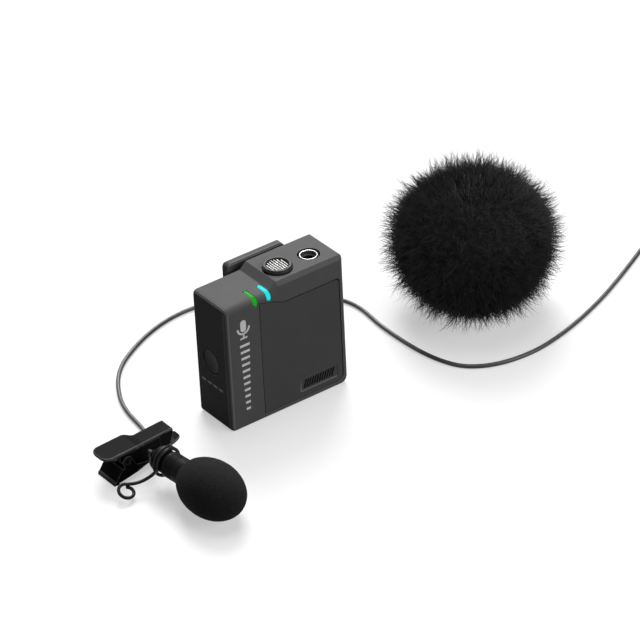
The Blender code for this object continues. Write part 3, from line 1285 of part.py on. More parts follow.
def build_plug(end):
    place = plug_place(end)
    start = FIT_GAP
    boot_end = start + PLUG_BOOT_LENGTH
    boot = drum(BOOT_TIP_RADIUS, PLUG_BOOT_RADIUS, start, boot_end)
    turned("plug_strain_relief", boot, SMALL_SIDES, place, RUBBER_BLACK)
    shell_start = boot_end + FIT_GAP
    shell_end = shell_start + PLUG_SHELL_LENGTH
    soft = 0.0005
    wide = PLUG_SHELL_RADIUS
    shell = [(0, shell_start), (wide - 2 * soft, shell_start), (wide, shell_start + 2 * soft),
             (wide, shell_end - soft), (wide - soft, shell_end), (0, shell_end)]
    turned("plug_shell", shell, ROUND_SIDES, place, DARK_PLASTIC)
    contact = PLUG_CONTACT_RADIUS
    at = shell_end + FIT_GAP
    turned("plug_sleeve", drum(contact, contact, at, at + PLUG_SLEEVE_LENGTH), SMALL_SIDES, place, GOLD)
    at += PLUG_SLEEVE_LENGTH + FIT_GAP
    turned("plug_insulator_1", drum(contact, contact, at, at + PLUG_INSULATOR), SMALL_SIDES, place,
           INSULATOR_BLACK)
    at += PLUG_INSULATOR + FIT_GAP
    turned("plug_ring", drum(contact, contact, at, at + PLUG_RING_LENGTH), SMALL_SIDES, place, GOLD)
    at += PLUG_RING_LENGTH + FIT_GAP
    turned("plug_insulator_2", drum(contact, contact, at, at + PLUG_INSULATOR), SMALL_SIDES, place,
           INSULATOR_BLACK)
    at += PLUG_INSULATOR + FIT_GAP
    waist = 0.75 * contact
    tip = [(0, at), (waist, at), (waist, at + 0.0008), (contact, at + 0.0016),
           (0.3 * contact, at + PLUG_TIP_LENGTH), (0, at + PLUG_TIP_LENGTH)]
    turned("plug_tip", tip, SMALL_SIDES, place, GOLD)


# ---------------------------------------------------------------- fur windscreen
def fur_place():
    """Place in the ball's middle whose Z axis points to the back (+Y)."""
    return (Matrix.Translation((FUR_X, FUR_Y, FUR_RADIUS)) @ Matrix.Rotation(-math.pi / 2, 4, "X"))


def mouth_height():
    return math.sqrt(FUR_RADIUS ** 2 - (SOCKET_RADIUS + FIT_GAP) ** 2)


def build_fur_windscreen():
    place = fur_place()
    mouth = SOCKET_RADIUS + FIT_GAP
    floor = mouth_height() - SOCKET_DEPTH
    profile = [(0, floor), (mouth, floor)]
    widest = math.asin(mouth / FUR_RADIUS)
    steps = 6
    for k in range(steps + 1):
        angle = widest + (math.pi / 2 - widest) * k / steps
        profile.append((FUR_RADIUS * math.sin(angle), FUR_RADIUS * math.cos(angle)))
    for k in range(1, steps + 2):
        angle = math.pi / 2 * (1 + k / (steps + 1))
        radius = FUR_RADIUS * math.sin(angle) if k <= steps else 0
        profile.append((radius, FUR_RADIUS * math.cos(angle)))
    turned("fur_windscreen", profile, ROUND_SIDES, place, FUR_BLACK)
    grip = BEZEL_RADIUS + SOCKET_GRIP_CLEARANCE
    cup_floor = floor + FIT_GAP
    top = mouth_height() - 0.0004
    cup = [(0, cup_floor), (SOCKET_RADIUS, cup_floor), (SOCKET_RADIUS, top), (grip, top),
           (grip, cup_floor + WALL), (0, cup_floor + WALL)]
    turned("windscreen_socket", cup, ROUND_SIDES, place, RUBBER_BLACK)


# ---------------------------------------------------------------- assembly
def main():
    clear_scene()
    build_housing()
    build_front_panel()
    build_back_cover()
    build_screws()
    build_lights()
    build_onboard_mic()
    build_jack()
    build_buttons()
    build_inside()
    build_belt_clip()
    build_clip_pin()
    build_clip_spring()
    build_lower_jaw()
    build_upper_jaw()
    build_jaw_pin()
    build_jaw_spring()
    build_lavalier()
    build_foam()
    build_holder_wire()
    coil = build_lead()
    build_plug(coil[-1])
    build_fur_windscreen()


main()
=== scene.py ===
# %% [markdown]
# This notebook dresses a wireless lavalier microphone set. The set lies on a pale table: a clip-on
# transmitter stands upright, a lapel microphone in its sprung clip lies beside it with a foam
# windscreen on, and a fur windscreen that has been taken off lies behind. The hard solids come
# from the imported model, so this first cell loads them. The set's sizes are written in
# millimetres and become metres where a mesh or a tree is made. The relief of the finishes, the
# floor and the lamps are in metres.

# %% Load the imported model
import json
import math

import bmesh
import bpy
from mathutils import Matrix, Vector, noise


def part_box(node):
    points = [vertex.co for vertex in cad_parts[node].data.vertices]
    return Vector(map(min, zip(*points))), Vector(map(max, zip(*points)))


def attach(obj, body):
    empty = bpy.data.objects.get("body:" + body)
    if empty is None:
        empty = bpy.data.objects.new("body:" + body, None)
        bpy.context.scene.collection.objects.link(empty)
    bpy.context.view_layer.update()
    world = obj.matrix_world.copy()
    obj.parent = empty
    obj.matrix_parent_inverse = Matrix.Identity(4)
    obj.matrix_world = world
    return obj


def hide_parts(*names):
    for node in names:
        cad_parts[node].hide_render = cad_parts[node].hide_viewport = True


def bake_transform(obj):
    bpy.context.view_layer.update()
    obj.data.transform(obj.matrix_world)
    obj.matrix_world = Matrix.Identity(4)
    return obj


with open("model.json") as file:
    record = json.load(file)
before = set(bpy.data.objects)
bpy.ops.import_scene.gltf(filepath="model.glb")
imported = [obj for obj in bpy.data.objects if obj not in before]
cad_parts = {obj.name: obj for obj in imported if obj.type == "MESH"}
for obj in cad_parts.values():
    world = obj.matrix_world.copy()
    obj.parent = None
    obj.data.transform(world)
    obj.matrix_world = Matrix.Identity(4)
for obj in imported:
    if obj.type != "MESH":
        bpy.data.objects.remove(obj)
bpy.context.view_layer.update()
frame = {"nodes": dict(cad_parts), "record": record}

MM = 0.001
CAD_NODES = frame["nodes"]


def in_mm(corners):
    return [[round(v / MM, 1) for v in corner] for corner in corners]


# %% [markdown]
# The picture was taken with a long lens from the front left, looking down at about a third of a
# right angle. A camera is set by where it looks, how far away it is, and three turns. Its axes are
# worked out here from azimuth, elevation and roll, because that keeps the three turns readable.

# %% Camera
CAMERA_AZIMUTH = math.radians(-35.178)
CAMERA_ELEVATION = math.radians(32.62)
CAMERA_ROLL = math.radians(-2.938)
CAMERA_TARGET = Vector((12.77, -7.02, 24.53)) * MM
CAMERA_DISTANCE = 1136.95 * MM
CAMERA_LENS = 219.05


def new_object(name, data):
    """A new object in the scene; its data gets the same name."""
    item = bpy.data.objects.new(name, data)
    data.name = name
    bpy.context.scene.collection.objects.link(item)
    return item


def add_camera():
    level = math.cos(CAMERA_ELEVATION)
    back = Vector((math.sin(CAMERA_AZIMUTH) * level, -math.cos(CAMERA_AZIMUTH) * level,
                   math.sin(CAMERA_ELEVATION)))
    right = Vector((0, 0, 1)).cross(back).normalized()
    roll = Matrix.Rotation(CAMERA_ROLL, 3, back)
    camera = new_object("view_from_front_left", bpy.data.cameras.new("view"))
    camera.data.lens = CAMERA_LENS
    camera.data.clip_start = 0.05
    place = Matrix((roll @ right, roll @ back.cross(right), back)).transposed().to_4x4()
    place.translation = CAMERA_TARGET + back * CAMERA_DISTANCE
    camera.matrix_world = place
    bpy.context.scene.camera = camera
    return camera


print("camera at mm", in_mm([add_camera().matrix_world.translation]))

# %% [markdown]
# Every finish and every grown piece is made of nodes. Writing sums as node links is hard to read,
# so one small class wraps a node's output and turns +, - and * into Math nodes, a second one adds
# nodes to a tree, and a third builds one material. What differs over a surface goes only to
# colour, roughness and the bump; the rest are constants.


# %% Nodes: sums, trees and materials
class Signal:
    """A node's output that can stand in a sum."""

    def __init__(self, nodes, socket):
        self.nodes = nodes
        self.socket = socket

    def other(self, output):
        """Another output of the same node."""
        return Signal(self.nodes, self.socket.node.outputs[output])

    def maths(self, operation, first, second):
        return self.nodes.node("ShaderNodeMath", {0: first, 1: second}, operation=operation)

    def __add__(self, other):
        return self.maths("ADD", self, other)

    def __sub__(self, other):
        return self.maths("SUBTRACT", self, other)

    def __rsub__(self, other):
        return self.maths("SUBTRACT", other, self)

    def __mul__(self, other):
        return self.maths("MULTIPLY", self, other)


class Nodes:
    """A node tree to which nodes are added."""

    def __init__(self, tree):
        self.tree = tree

    def node(self, kind, sockets=None, output=0, **settings):
        """A new node, settings first because they change its sockets; gives one output."""
        node = self.tree.nodes.new(kind)
        for key, value in settings.items():
            setattr(node, key, value)
        for key, value in (sockets or {}).items():
            if isinstance(value, Signal):
                self.tree.links.new(value.socket, node.inputs[key])
            else:
                node.inputs[key].default_value = value
        return Signal(self, node.outputs[output])


class Finish(Nodes):
    """A material built from nodes round one Principled shader."""

    def __init__(self, name, **constants):
        self.material = bpy.data.materials.new(name)
        self.material.use_nodes = True
        super().__init__(self.material.node_tree)
        self.shader = self.tree.nodes["Principled BSDF"]
        for key, value in constants.items():
            self.shader.inputs[key.replace("_", " ")].default_value = value

    def spots(self, turned=(0, 0, 0), stretch=(1, 1, 1)):
        """Object coordinates, turned and stretched where a pattern needs it."""
        plain = self.node("ShaderNodeTexCoord", output="Object")
        return self.node("ShaderNodeMapping",
                         {"Vector": plain, "Rotation": turned, "Scale": stretch})

    def grain(self, scale, detail=2.0, rough=0.5, **where):
        return self.node("ShaderNodeTexNoise", {"Vector": self.spots(**where), "Scale": scale,
                                                "Detail": detail, "Roughness": rough})

    def steep(self, signal, low, high):
        """The signal spread so that low becomes 0 and high becomes 1."""
        return self.node("ShaderNodeMapRange", {"Value": signal, "From Min": low, "From Max": high})

    def colours(self, share, dark, light):
        return self.node("ShaderNodeMix", {0: share, 6: (*dark, 1), 7: (*light, 1)}, 2,
                         data_type="RGBA")

    def bump(self, height, depth, strength=1.0):
        """Relief of this depth in metres."""
        return self.node("ShaderNodeBump",
                         {"Height": height, "Distance": depth, "Strength": strength})

    def surface(self, **signals):
        """The signals are linked to the shader's inputs of the same names; gives the material."""
        for name, signal in signals.items():
            self.tree.links.new(signal.socket, self.shader.inputs[name.replace("_", " ")])
        return self.material


def grey(value):
    return (value, value, value * 1.02)


print("node helpers ready")

# %% [markdown]
# The transmitter's case is injection-moulded plastic. The mould was spark-eroded, which leaves a
# fine even grain, and hands polish such a face a little unevenly. So a fine noise drives the bump
# and a broad one shifts colour and roughness.


# %% Materials: moulded plastics
def moulded(name, dark, light, roughness, specular=0.5, grain_scale=6500, depth=9e-6):
    made = Finish(name, Specular_IOR_Level=specular)
    fine = made.grain(grain_scale)
    broad = made.grain(110, 4, 0.6)
    rubbing_and_painted_edges = made.steep(made.grain(320, 5, 0.7), 0.35, 0.75)
    return made.surface(
        Base_Color=made.colours(broad * 0.7 + rubbing_and_painted_edges * 0.3, grey(dark), grey(light)),
        Roughness=fine * 0.10 + broad * 0.10 + (roughness - 0.10), Normal=made.bump(fine, depth))


CASE = moulded("case_spark_grained", 0.098, 0.122, 0.38, 0.007)
# Painted highlight: a lighter, glossier copy of the case finish for the roundings and the narrow
# corner strips.
CASE_EDGE_HIGHLIGHT = moulded("case_edge_rubbed", 0.150, 0.200, 0.30, 0.04)
CASE_LOWER = moulded("back_cover_spark_grained", 0.090, 0.112, 0.42, 0.012)
PANEL = moulded("front_panel_satin", 0.078, 0.092, 0.34, 0.012, 9000, 4e-6)
# Painted shade: a near-black copy of the panel finish for the panel's roundings, standing for the
# shade in the gap round it.
PANEL_RIM_SHADE = moulded("panel_seam_shaded", 0.010, 0.016, 0.45, 0.006, 8000, 4e-6)
BUTTON = moulded("button_plastic", 0.030, 0.042, 0.36, 0.03, 8000, 5e-6)
BEZEL = moulded("bezel_plastic", 0.022, 0.032, 0.30, 0.10, 8000, 4e-6)
BADGE_RIB = moulded("badge_rib_plastic", 0.006, 0.009, 0.40, 0.02, 8000, 4e-6)
MIC_BODY = moulded("microphone_body_black", 0.007, 0.012, 0.42, 0.035, 8000, 5e-6)
PLUG_SHELL = moulded("plug_shell_black", 0.010, 0.016, 0.36, 0.5, 7000, 6e-6)
INSULATOR = moulded("plug_insulator_black", 0.008, 0.012, 0.25, 0.5, 9000, 2e-6)
JACK_BLOCK = moulded("jack_block_black", 0.004, 0.007, 0.5, 0.5, 5000, 8e-6)
print("plastics made")

# %% [markdown]
# The metal pieces differ in how they were made: the jack's ring is turned and plated, the clip's
# jaws are pressed sheet with a satin black coat, the springs are drawn wire. Turning and drawing
# leave fine lines along one direction, which is a noise squeezed in the others.


# %% Materials: metals
def bare_metal(name, colour, roughness, line_scale=900, stretch=(1, 1, 12)):
    made = Finish(name, Metallic=1.0)
    lines = made.grain(line_scale, 3, 0.6, stretch=stretch)
    stain = made.steep(made.grain(260, 4), 0.3, 0.8)
    return made.surface(Base_Color=made.colours(stain, colour, [0.8 * c for c in colour]),
                        Roughness=lines * 0.16 + stain * 0.06 + (roughness - 0.10),
                        Normal=made.bump(lines, 2e-6))


def coated_metal(name, dark, light, roughness, specular):
    made = Finish(name, Specular_IOR_Level=specular)
    orange_peel = made.grain(2400)
    broad = made.grain(150, 3)
    rubbing_and_painted_edges = made.steep(made.grain(700, 6, 0.75), 0.62, 0.72)
    return made.surface(
        Base_Color=made.colours(broad * 0.6 + rubbing_and_painted_edges * 0.4, grey(dark), grey(light)),
        Roughness=orange_peel * 0.12 + broad * 0.08 + (roughness - 0.1),
        Normal=made.bump(orange_peel, 6e-6))


NICKEL = bare_metal("nickel_turned", (0.46, 0.46, 0.45), 0.34)
MESH_STEEL = bare_metal("mesh_steel_wire", (0.44, 0.44, 0.43), 0.38, 1500, (1, 1, 1))
SPRING = bare_metal("spring_wire_drawn", (0.42, 0.42, 0.43), 0.30)
GOLD = bare_metal("gold_plated", (0.88, 0.62, 0.26), 0.20)
SHIELD = bare_metal("shield_tinned", (0.70, 0.71, 0.72), 0.35, 500, (1, 1, 6))
CLIP_BLACK = coated_metal("clip_satin_black", 0.008, 0.013, 0.28, 0.006)
# Painted highlight: a lighter, glossier copy of the clip's coat for the jaws' roundings.
CLIP_EDGE_HIGHLIGHT = coated_metal("clip_edge_rubbed", 0.060, 0.110, 0.26, 0.10)
WIRE_BLACK = coated_metal("wire_gloss_black", 0.006, 0.010, 0.24, 0.12)
SCREW_BLACK = coated_metal("screw_black_oxide", 0.012, 0.022, 0.34, 0.25)
print("metals made")

# %% [markdown]
# The soft finishes are the lead's jacket with its rubber pieces, the open foam and the long fur.
# The foam's skin is broken by cut cells, so a cell pattern makes small pits and paints shade into
# them; each hair of the fur only needs a slight change of tone on its way. The light guides glow,
# and print is only a film.


# %% Materials: soft things, lights and print
def rubber(name, dark, light, roughness, grain_scale, specular):
    made = Finish(name, Specular_IOR_Level=specular)
    fine = made.grain(grain_scale, 3, 0.6)
    dust = made.steep(made.grain(420, 5, 0.7), 0.45, 0.85)
    return made.surface(Base_Color=made.colours(dust, grey(dark), grey(light)),
                        Roughness=fine * 0.14 + dust * 0.12 + (roughness - 0.12),
                        Normal=made.bump(fine, 1.2e-5))


def open_foam(name, dark, light):
    made = Finish(name, Specular_IOR_Level=0.11)
    pits = made.node("ShaderNodeTexVoronoi", {"Vector": made.spots(), "Scale": 2600},
                     feature="DISTANCE_TO_EDGE")
    small = made.grain(5200, 3, 0.7)
    open_cell = made.steep(pits, 0.02, 0.30)
    # The pits are painted darker than the cell walls: painted shade in the cut cells.
    return made.surface(
        Base_Color=made.colours(open_cell * 0.7 + small * 0.3, grey(light), grey(dark)),
        Roughness=small * 0.10 + 0.86, Normal=made.bump(small * 0.5 - open_cell, 1.0e-4))


def long_fur(name, dark, light):
    made = Finish(name, Specular_IOR_Level=0.17)
    shade = made.steep(made.grain(900, 3), 0.3, 0.7)
    broad = made.grain(120, 3)
    return made.surface(
        Base_Color=made.colours(shade * 0.6 + broad * 0.4, grey(dark), grey(light)),
        Roughness=shade * 0.2 + 0.5, Normal=made.bump(made.grain(6000), 1e-5))


def light_guide(name, colour, lit):
    made = Finish(name, Roughness=0.35, Specular_IOR_Level=0.05, Emission_Strength=lit)
    glow = made.steep(made.grain(500), 0.2, 0.8)
    deep, unlit, unlit_deep = ([share * c for c in colour] for share in (0.90, 0.10, 0.06))
    return made.surface(Emission_Color=made.colours(glow, deep, colour),
                        Base_Color=made.colours(glow, unlit_deep, unlit),
                        Normal=made.bump(made.grain(4000), 3e-6))


def print_ink(name, dark, light):
    made = Finish(name, Specular_IOR_Level=0.3)
    speckle = made.grain(9000, 3)
    return made.surface(Base_Color=made.colours(speckle, grey(dark), grey(light)),
                        Roughness=speckle * 0.2 + 0.45, Normal=made.bump(speckle, 3e-6))


RUBBER = rubber("rubber_matt_black", 0.007, 0.015, 0.62, 3000, 0.06)
LEAD_JACKET = rubber("lead_jacket_black", 0.026, 0.044, 0.34, 5000, 0.45)
FOAM = open_foam("foam_open_cell_black", 0.007, 0.020)
FUR = long_fur("fur_black", 0.013, 0.036)
FUR_BACKING = long_fur("fur_backing_black", 0.004, 0.008)
CYAN = light_guide("guide_cyan_lit", (0.006, 0.80, 0.82), 0.95)
GREEN = light_guide("guide_green_lit", (0.005, 0.38, 0.008), 0.90)
INK = print_ink("print_light_grey", 0.74, 0.84)
INK_DIM = print_ink("print_dim_grey", 0.26, 0.36)
print("soft finishes, guides and inks made")

# %% [markdown]
# Two finishes belong to the electronics inside. A board shows fine tracks under a green mask,
# which a brick pattern stands for, and a battery pouch is creased foil.


# %% Materials: the electronics inside
def board_mask():
    made = Finish("board_solder_mask", Specular_IOR_Level=0.6)
    tracks = made.node("ShaderNodeTexBrick",
                       {"Vector": made.spots(turned=(math.pi / 2, 0, 0)), "Scale": 420.0,
                        "Mortar Size": 0.06, "Color1": (0, 0, 0, 1),
                        "Color2": (0.2, 0.2, 0.2, 1), "Mortar": (1, 1, 1, 1)},
                       offset=0.3, squash=2.0)
    return made.surface(Base_Color=made.colours(tracks, (0.008, 0.07, 0.03), (0.02, 0.16, 0.07)),
                        Roughness=made.grain(2000) * 0.2 + 0.3, Normal=made.bump(tracks, 2e-5))


def foil_pouch():
    made = Finish("battery_foil_pouch", Metallic=0.6)
    creases = made.grain(230, 5, 0.6)
    return made.surface(Base_Color=made.colours(creases, (0.38, 0.39, 0.41), (0.55, 0.56, 0.58)),
                        Roughness=creases * 0.3 + 0.22, Normal=made.bump(creases, 1.5e-4, 0.6))


BOARD = board_mask()
FOIL = foil_pouch()
print("electronics finishes made", len(bpy.data.materials), "materials in all")

# %% [markdown]
# Most pieces are made in one of four ways: turned round an axis like work in a lathe, lofted
# through rings, swept along a line, or copied from the imported solid with its edges softened.
# First come the helpers that turn a mesh into a finished piece: it gets its finish, rides with its
# node's body, and says which solids it stands for.

# %% Helpers: placing a finished piece
SLOT_OF_NODE = {row["node"]: row["material_slot"] for row in frame["record"]["subparts"]}
BODY_OF_NODE = {node: body for body, nodes in frame["record"]["behaviour"]["bodies"].items()
                for node in nodes}


def dress(piece, material, node, stands_for=None):
    """The piece stands for its own node, unless a tuple names others or none."""
    piece.data.materials.clear()
    piece.data.materials.append(material)
    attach(piece, BODY_OF_NODE[node])
    if stands_for is None or stands_for:
        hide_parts(*(stands_for or (node,)))
    return piece


def smooth(mesh, crease):
    mesh.shade_smooth()
    mesh.set_sharp_from_angle(angle=math.radians(crease))


def show(name, mesh, material, node, stands_for=None, crease=35):
    piece = dress(new_object(name, mesh), material, node, stands_for)
    smooth(mesh, crease)
    return counted(piece)


def counted(piece):
    print(piece.name, sum(len(face.vertices) - 2 for face in piece.data.polygons), "triangles")
    return piece


def mesh_of(bm, mend_normals=True):
    if mend_normals:
        bmesh.ops.recalc_face_normals(bm, faces=bm.faces)
    mesh = bpy.data.meshes.new("form")
    bm.to_mesh(mesh)
    bm.free()
    return mesh


def settled(piece):
    """The piece's modifiers are worked into a plain mesh and removed."""
    graph = bpy.context.evaluated_depsgraph_get()
    mesh = bpy.data.meshes.new_from_object(piece.evaluated_get(graph))
    piece.modifiers.clear()
    old, piece.data = piece.data, mesh
    bpy.data.meshes.remove(old)
    mesh.name = piece.name
    return piece


print("slots of", len(SLOT_OF_NODE), "nodes on", len(set(BODY_OF_NODE.values())), "bodies")

# %% [markdown]
# These helpers make the turned, lofted and swept forms. A closed profile of radius and height is
# rounded at its corners and turned about the Z axis of a place. A swept tube carries its ring
# along the line with as little turning as it can, and its ends are softened.

# %% Helpers: turned, lofted and swept forms
ON_AXIS = 1e-4


def placed(spot, degrees=0.0, axis="Z"):
    return Matrix.Translation(spot) @ Matrix.Rotation(math.radians(degrees), 4, axis)


def flat(angle, reach=1.0):
    """Level vector of this length in this direction."""
    return Vector((reach * math.cos(angle), reach * math.sin(angle), 0))


def eased(share):
    """0 to 1 with a soft start and end."""
    share = min(1.0, max(0.0, share))
    return share * share * (3 - 2 * share)


def softened(profile, radius, steps=3):
    """The closed profile with each corner off the axis rounded."""
    points = [Vector(p) for p in profile]
    result = []
    for k, here in enumerate(points):
        before = points[k - 1] - here
        after = points[(k + 1) % len(points)] - here
        reach = min(radius, 0.45 * before.length, 0.45 * after.length)
        if here.x < ON_AXIS or reach < ON_AXIS:
            result.append(here)
            continue
        start = here + before.normalized() * reach
        end = here + after.normalized() * reach
        for t in (s / steps for s in range(steps + 1)):
            result.append((1 - t) ** 2 * start + 2 * t * (1 - t) * here + t * t * end)
    return result


def turned(profile, place, sides):
    bm = bmesh.new()
    columns = []
    for angle in (2 * math.pi * s / sides for s in range(sides)):
        columns.append([bm.verts.new(MM * (place @ (flat(angle, r) + Vector((0, 0, h)))))
                        for r, h in profile])
    for here, there in zip(columns, columns[1:] + columns[:1]):
        for k in range(len(profile)):
            n = (k + 1) % len(profile)
            if profile[k][0] > ON_AXIS or profile[n][0] > ON_AXIS:
                bm.faces.new((here[k], here[n], there[n], there[k]))
    bmesh.ops.remove_doubles(bm, verts=bm.verts, dist=1e-7)
    bmesh.ops.dissolve_degenerate(bm, edges=bm.edges, dist=1e-8)
    return mesh_of(bm)


def turned_piece(name, node, finish, profile, soft, place, sides, steps=3, stands_for=None):
    return show(name, turned(softened(profile, soft, steps), place, sides), finish, node,
                stands_for)


def walls(bm, low, high):
    """Faces between two loops of equally many points."""
    for i in range(len(low)):
        j = (i + 1) % len(low)
        bm.faces.new((low[i], low[j], high[j], high[i]))


def lofted(rings):
    """Closed mesh through rings of equally many points, capped at both ends."""
    bm = bmesh.new()
    loops = [[bm.verts.new(MM * point) for point in ring] for ring in rings]
    for lower, upper in zip(loops, loops[1:]):
        walls(bm, lower, upper)
    bm.faces.new(loops[0])
    bm.faces.new(loops[-1])
    bmesh.ops.remove_doubles(bm, verts=bm.verts, dist=1e-8)
    return mesh_of(bm)


def swept(points, radius, sides):
    across = (points[1] - points[0]).normalized().orthogonal().normalized()
    rings = []
    for k, point in enumerate(points):
        ahead = (points[min(k + 1, len(points) - 1)] - points[max(k - 1, 0)]).normalized()
        across = (across - ahead * across.dot(ahead)).normalized()
        other = ahead.cross(across)
        angles = [2 * math.pi * s / sides for s in range(sides)]
        rings.append([point + radius * (math.cos(a) * across + math.sin(a) * other)
                      for a in angles])
    tight = 0.55
    for end, inward in ((0, 1), (-1, -1)):
        middle = points[end]
        step = (points[end + inward] - middle).normalized() * radius * (1 - tight)
        shrunk = [middle + (spot - middle) * tight for spot in rings[end]]
        rings[end] = [spot + step for spot in rings[end]]
        rings.insert(0 if inward == 1 else len(rings), shrunk)
    return lofted(rings)


print("forms ready")

# %% [markdown]
# A moulded solid needs only small roundings. A copy of it gets them on every sharp edge, narrower
# where there is little room, by means of the bevel weights. The roundings and the narrow strips
# along the corners get a second finish with painted light: a painted highlight on the case, the
# cover and the clips, and a painted shade on the panel. The shading follows the large faces so that
# they look flat.


# %% Helpers: a solid's copy with softened edges
def turns_away(face, low=2, high=26):
    """True for a narrow upright face that is turned a little from the nearest wall."""
    off = math.degrees(math.acos(min(1.0, max(abs(face.normal.x), abs(face.normal.y)))))
    longest = max(edge.calc_length() for edge in face.edges)
    return abs(face.normal.z) < 0.1 and low < off < high and face.calc_area() < longest * 0.9 * MM


def room_beside(edge):
    """How far a rounding of this edge may reach before it meets something else."""
    breadths = [face.calc_area() / max(side.calc_length() for side in face.edges)
                for face in edge.link_faces]
    nearby = [side.calc_length() for corner in edge.verts for side in corner.link_edges]
    return 0.45 * min(breadths + nearby)


def eased_copy(node, name, material, edge, painted_edge_finish, crease=28):
    bm = bmesh.new()
    bm.from_mesh(CAD_NODES[node].data)
    bmesh.ops.remove_doubles(bm, verts=bm.verts, dist=0.02 * MM)
    bmesh.ops.dissolve_limit(bm, angle_limit=math.radians(0.8), verts=bm.verts, edges=bm.edges)
    weight = bm.edges.layers.float.new("bevel_weight_edge")
    for side in bm.edges:
        if len(side.link_faces) == 2 and side.calc_face_angle(0.0) > math.radians(crease):
            side[weight] = min(1.0, room_beside(side) / (edge * MM))
    # Narrow strips at upright corners get the second finish, a painted highlight line, on the panel
    # a painted shade.
    rubbing_and_painted_edges = [int(turns_away(face)) for face in bm.faces]
    mesh = mesh_of(bm, mend_normals=False)
    piece = dress(new_object(name, mesh), material, node)
    smooth(mesh, crease)
    mesh.materials.append(painted_edge_finish)
    mesh.polygons.foreach_set("material_index", rubbing_and_painted_edges)
    rounding = piece.modifiers.new("rounding", "BEVEL")
    # The roundings get the second finish too: a painted highlight, on the panel a painted shade.
    rounding.material = 1
    rounding.width = edge * MM
    rounding.segments = 2
    rounding.limit_method = "WEIGHT"
    rounding.use_clamp_overlap = False
    rounding.miter_outer = "MITER_ARC"
    settled(piece).data.set_sharp_from_angle(angle=math.radians(50))
    shading = piece.modifiers.new("shading", "WEIGHTED_NORMAL")
    shading.mode = "FACE_AREA"
    shading.weight = 100
    shading.keep_sharp = True
    return counted(settled(piece))


print("copies ready")

# %% [markdown]
# The lead is a limp cord of 1.2 m. It drops from the microphone's boot to the table, runs behind
# the transmitter and leaves the picture at the right. What the picture doesn't show is wound up
# just outside it, as such a lead is stored. The line is the same as in the solid model: points
# chosen along the table, then a coil by formula whose size gives the whole length.

# %% Lead: the laid part
LEAD_DIAMETER = 1.35
LEAD_LENGTH = 1200.0
FIT_GAP = 0.3
LAV_PLACE = placed((-50.7, -17.9, 8.5), 5.7) @ placed((0, 0, 0), 90, "X")
NECK_HALF = 1.8
FLANGE_LENGTH = 1.1
BOOT_LENGTH = 2.7
BOOT_TOP = -NECK_HALF - FLANGE_LENGTH - FIT_GAP
BOOT_END = BOOT_TOP - BOOT_LENGTH - FIT_GAP
COIL_ENTRY = Vector((148.0, -3.0, LEAD_DIAMETER / 2))
COIL_ENTRY_HEADING = math.radians(17)
FALL = [(-51.3, -10.5, 7.3), (-50.8, -9.7, 4.7), (-49.8, -8.7, 2.1), (-47.6, -6.4, 0.8)]
GROUND = [(-44.8, -1.2), (-42.2, 4.8), (-40.4, 9.9), (-39.0, 19.1), (-37.1, 25.7),
          (-34.2, 31.6), (-30.3, 37.4), (-25.3, 42.4), (-19.2, 46.5), (-11.8, 50.3),
          (-4.5, 52.9), (1.9, 54.1), (8.3, 54.2), (20.0, 52.8), (31.0, 47.8), (40.5, 39.2),
          (45.8, 29.0), (47.5, 20.9), (46.4, 9.3), (46.2, -0.8), (46.7, -9.9), (48.2, -17.6),
          (50.9, -23.8), (55.2, -27.9), (60.8, -30.5), (67.3, -31.8), (75.0, -31.9),
          (84.1, -30.3), (94.3, -27.4), (105.8, -23.1), (115.5, -18.7), (126.1, -13.4),
          (133.4, -9.6), (140.8, -5.9)]


def travelled(points):
    """Distance to each point along the line."""
    marks = [0.0]
    for a, b in zip(points, points[1:]):
        marks.append(marks[-1] + (b - a).length)
    return marks


def smooth_route(spots, step):
    """Evenly spaced points on a smooth curve through the given spots."""
    spots = [Vector(s) for s in spots]
    padded = [2 * spots[0] - spots[1], *spots, 2 * spots[-1] - spots[-2]]
    fine = []
    for a, b, c, d in zip(padded, padded[1:], padded[2:], padded[3:]):
        for t in (k / 24 for k in range(24)):
            fine.append(0.5 * (2 * b + (c - a) * t + (2 * a - 5 * b + 4 * c - d) * t ** 2
                               + (3 * b - a - 3 * c + d) * t ** 3))
    fine.append(spots[-1])
    marks = travelled(fine)
    total = max(2, round(marks[-1] / step))
    route = []
    k = 0
    for i in range(total + 1):
        goal = marks[-1] * i / total
        while k < len(fine) - 2 and marks[k + 1] < goal:
            k += 1
        share = (goal - marks[k]) / (marks[k + 1] - marks[k])
        route.append(fine[k].lerp(fine[k + 1], min(1.0, share)))
    return route


def laid_route():
    start, after = (LAV_PLACE @ Vector((0, 0, at)) for at in (BOOT_END, BOOT_END - LEAD_DIAMETER))
    ground = [(x, y, LEAD_DIAMETER / 2) for x, y in GROUND]
    last = COIL_ENTRY - flat(COIL_ENTRY_HEADING, LEAD_DIAMETER)
    return smooth_route([start, after, *FALL, *ground, last, COIL_ENTRY], 1.2)


laid = laid_route()
print("laid part", round(travelled(laid)[-1], 1), "mm in", len(laid), "points")

# %% [markdown]
# The coil's turns run inward and outward in four layers, clockwise as seen from above, and the
# tail comes down to the plug. The mean radius is found by halving, so that the whole lead has its
# length.

# %% Lead: the coil that stores the rest
COIL_EXIT_HEADING = -145
COIL_PITCH = 2.0
COIL_LAYER_RISE = 1.9
COIL_LAYERS = 4
COIL_LOOPS = 17
COIL_STEPS = 24
COIL_TAIL = 21.5
COIL_TAIL_LEVEL = 6.0
PLUG_SHELL_RADIUS = 3.1


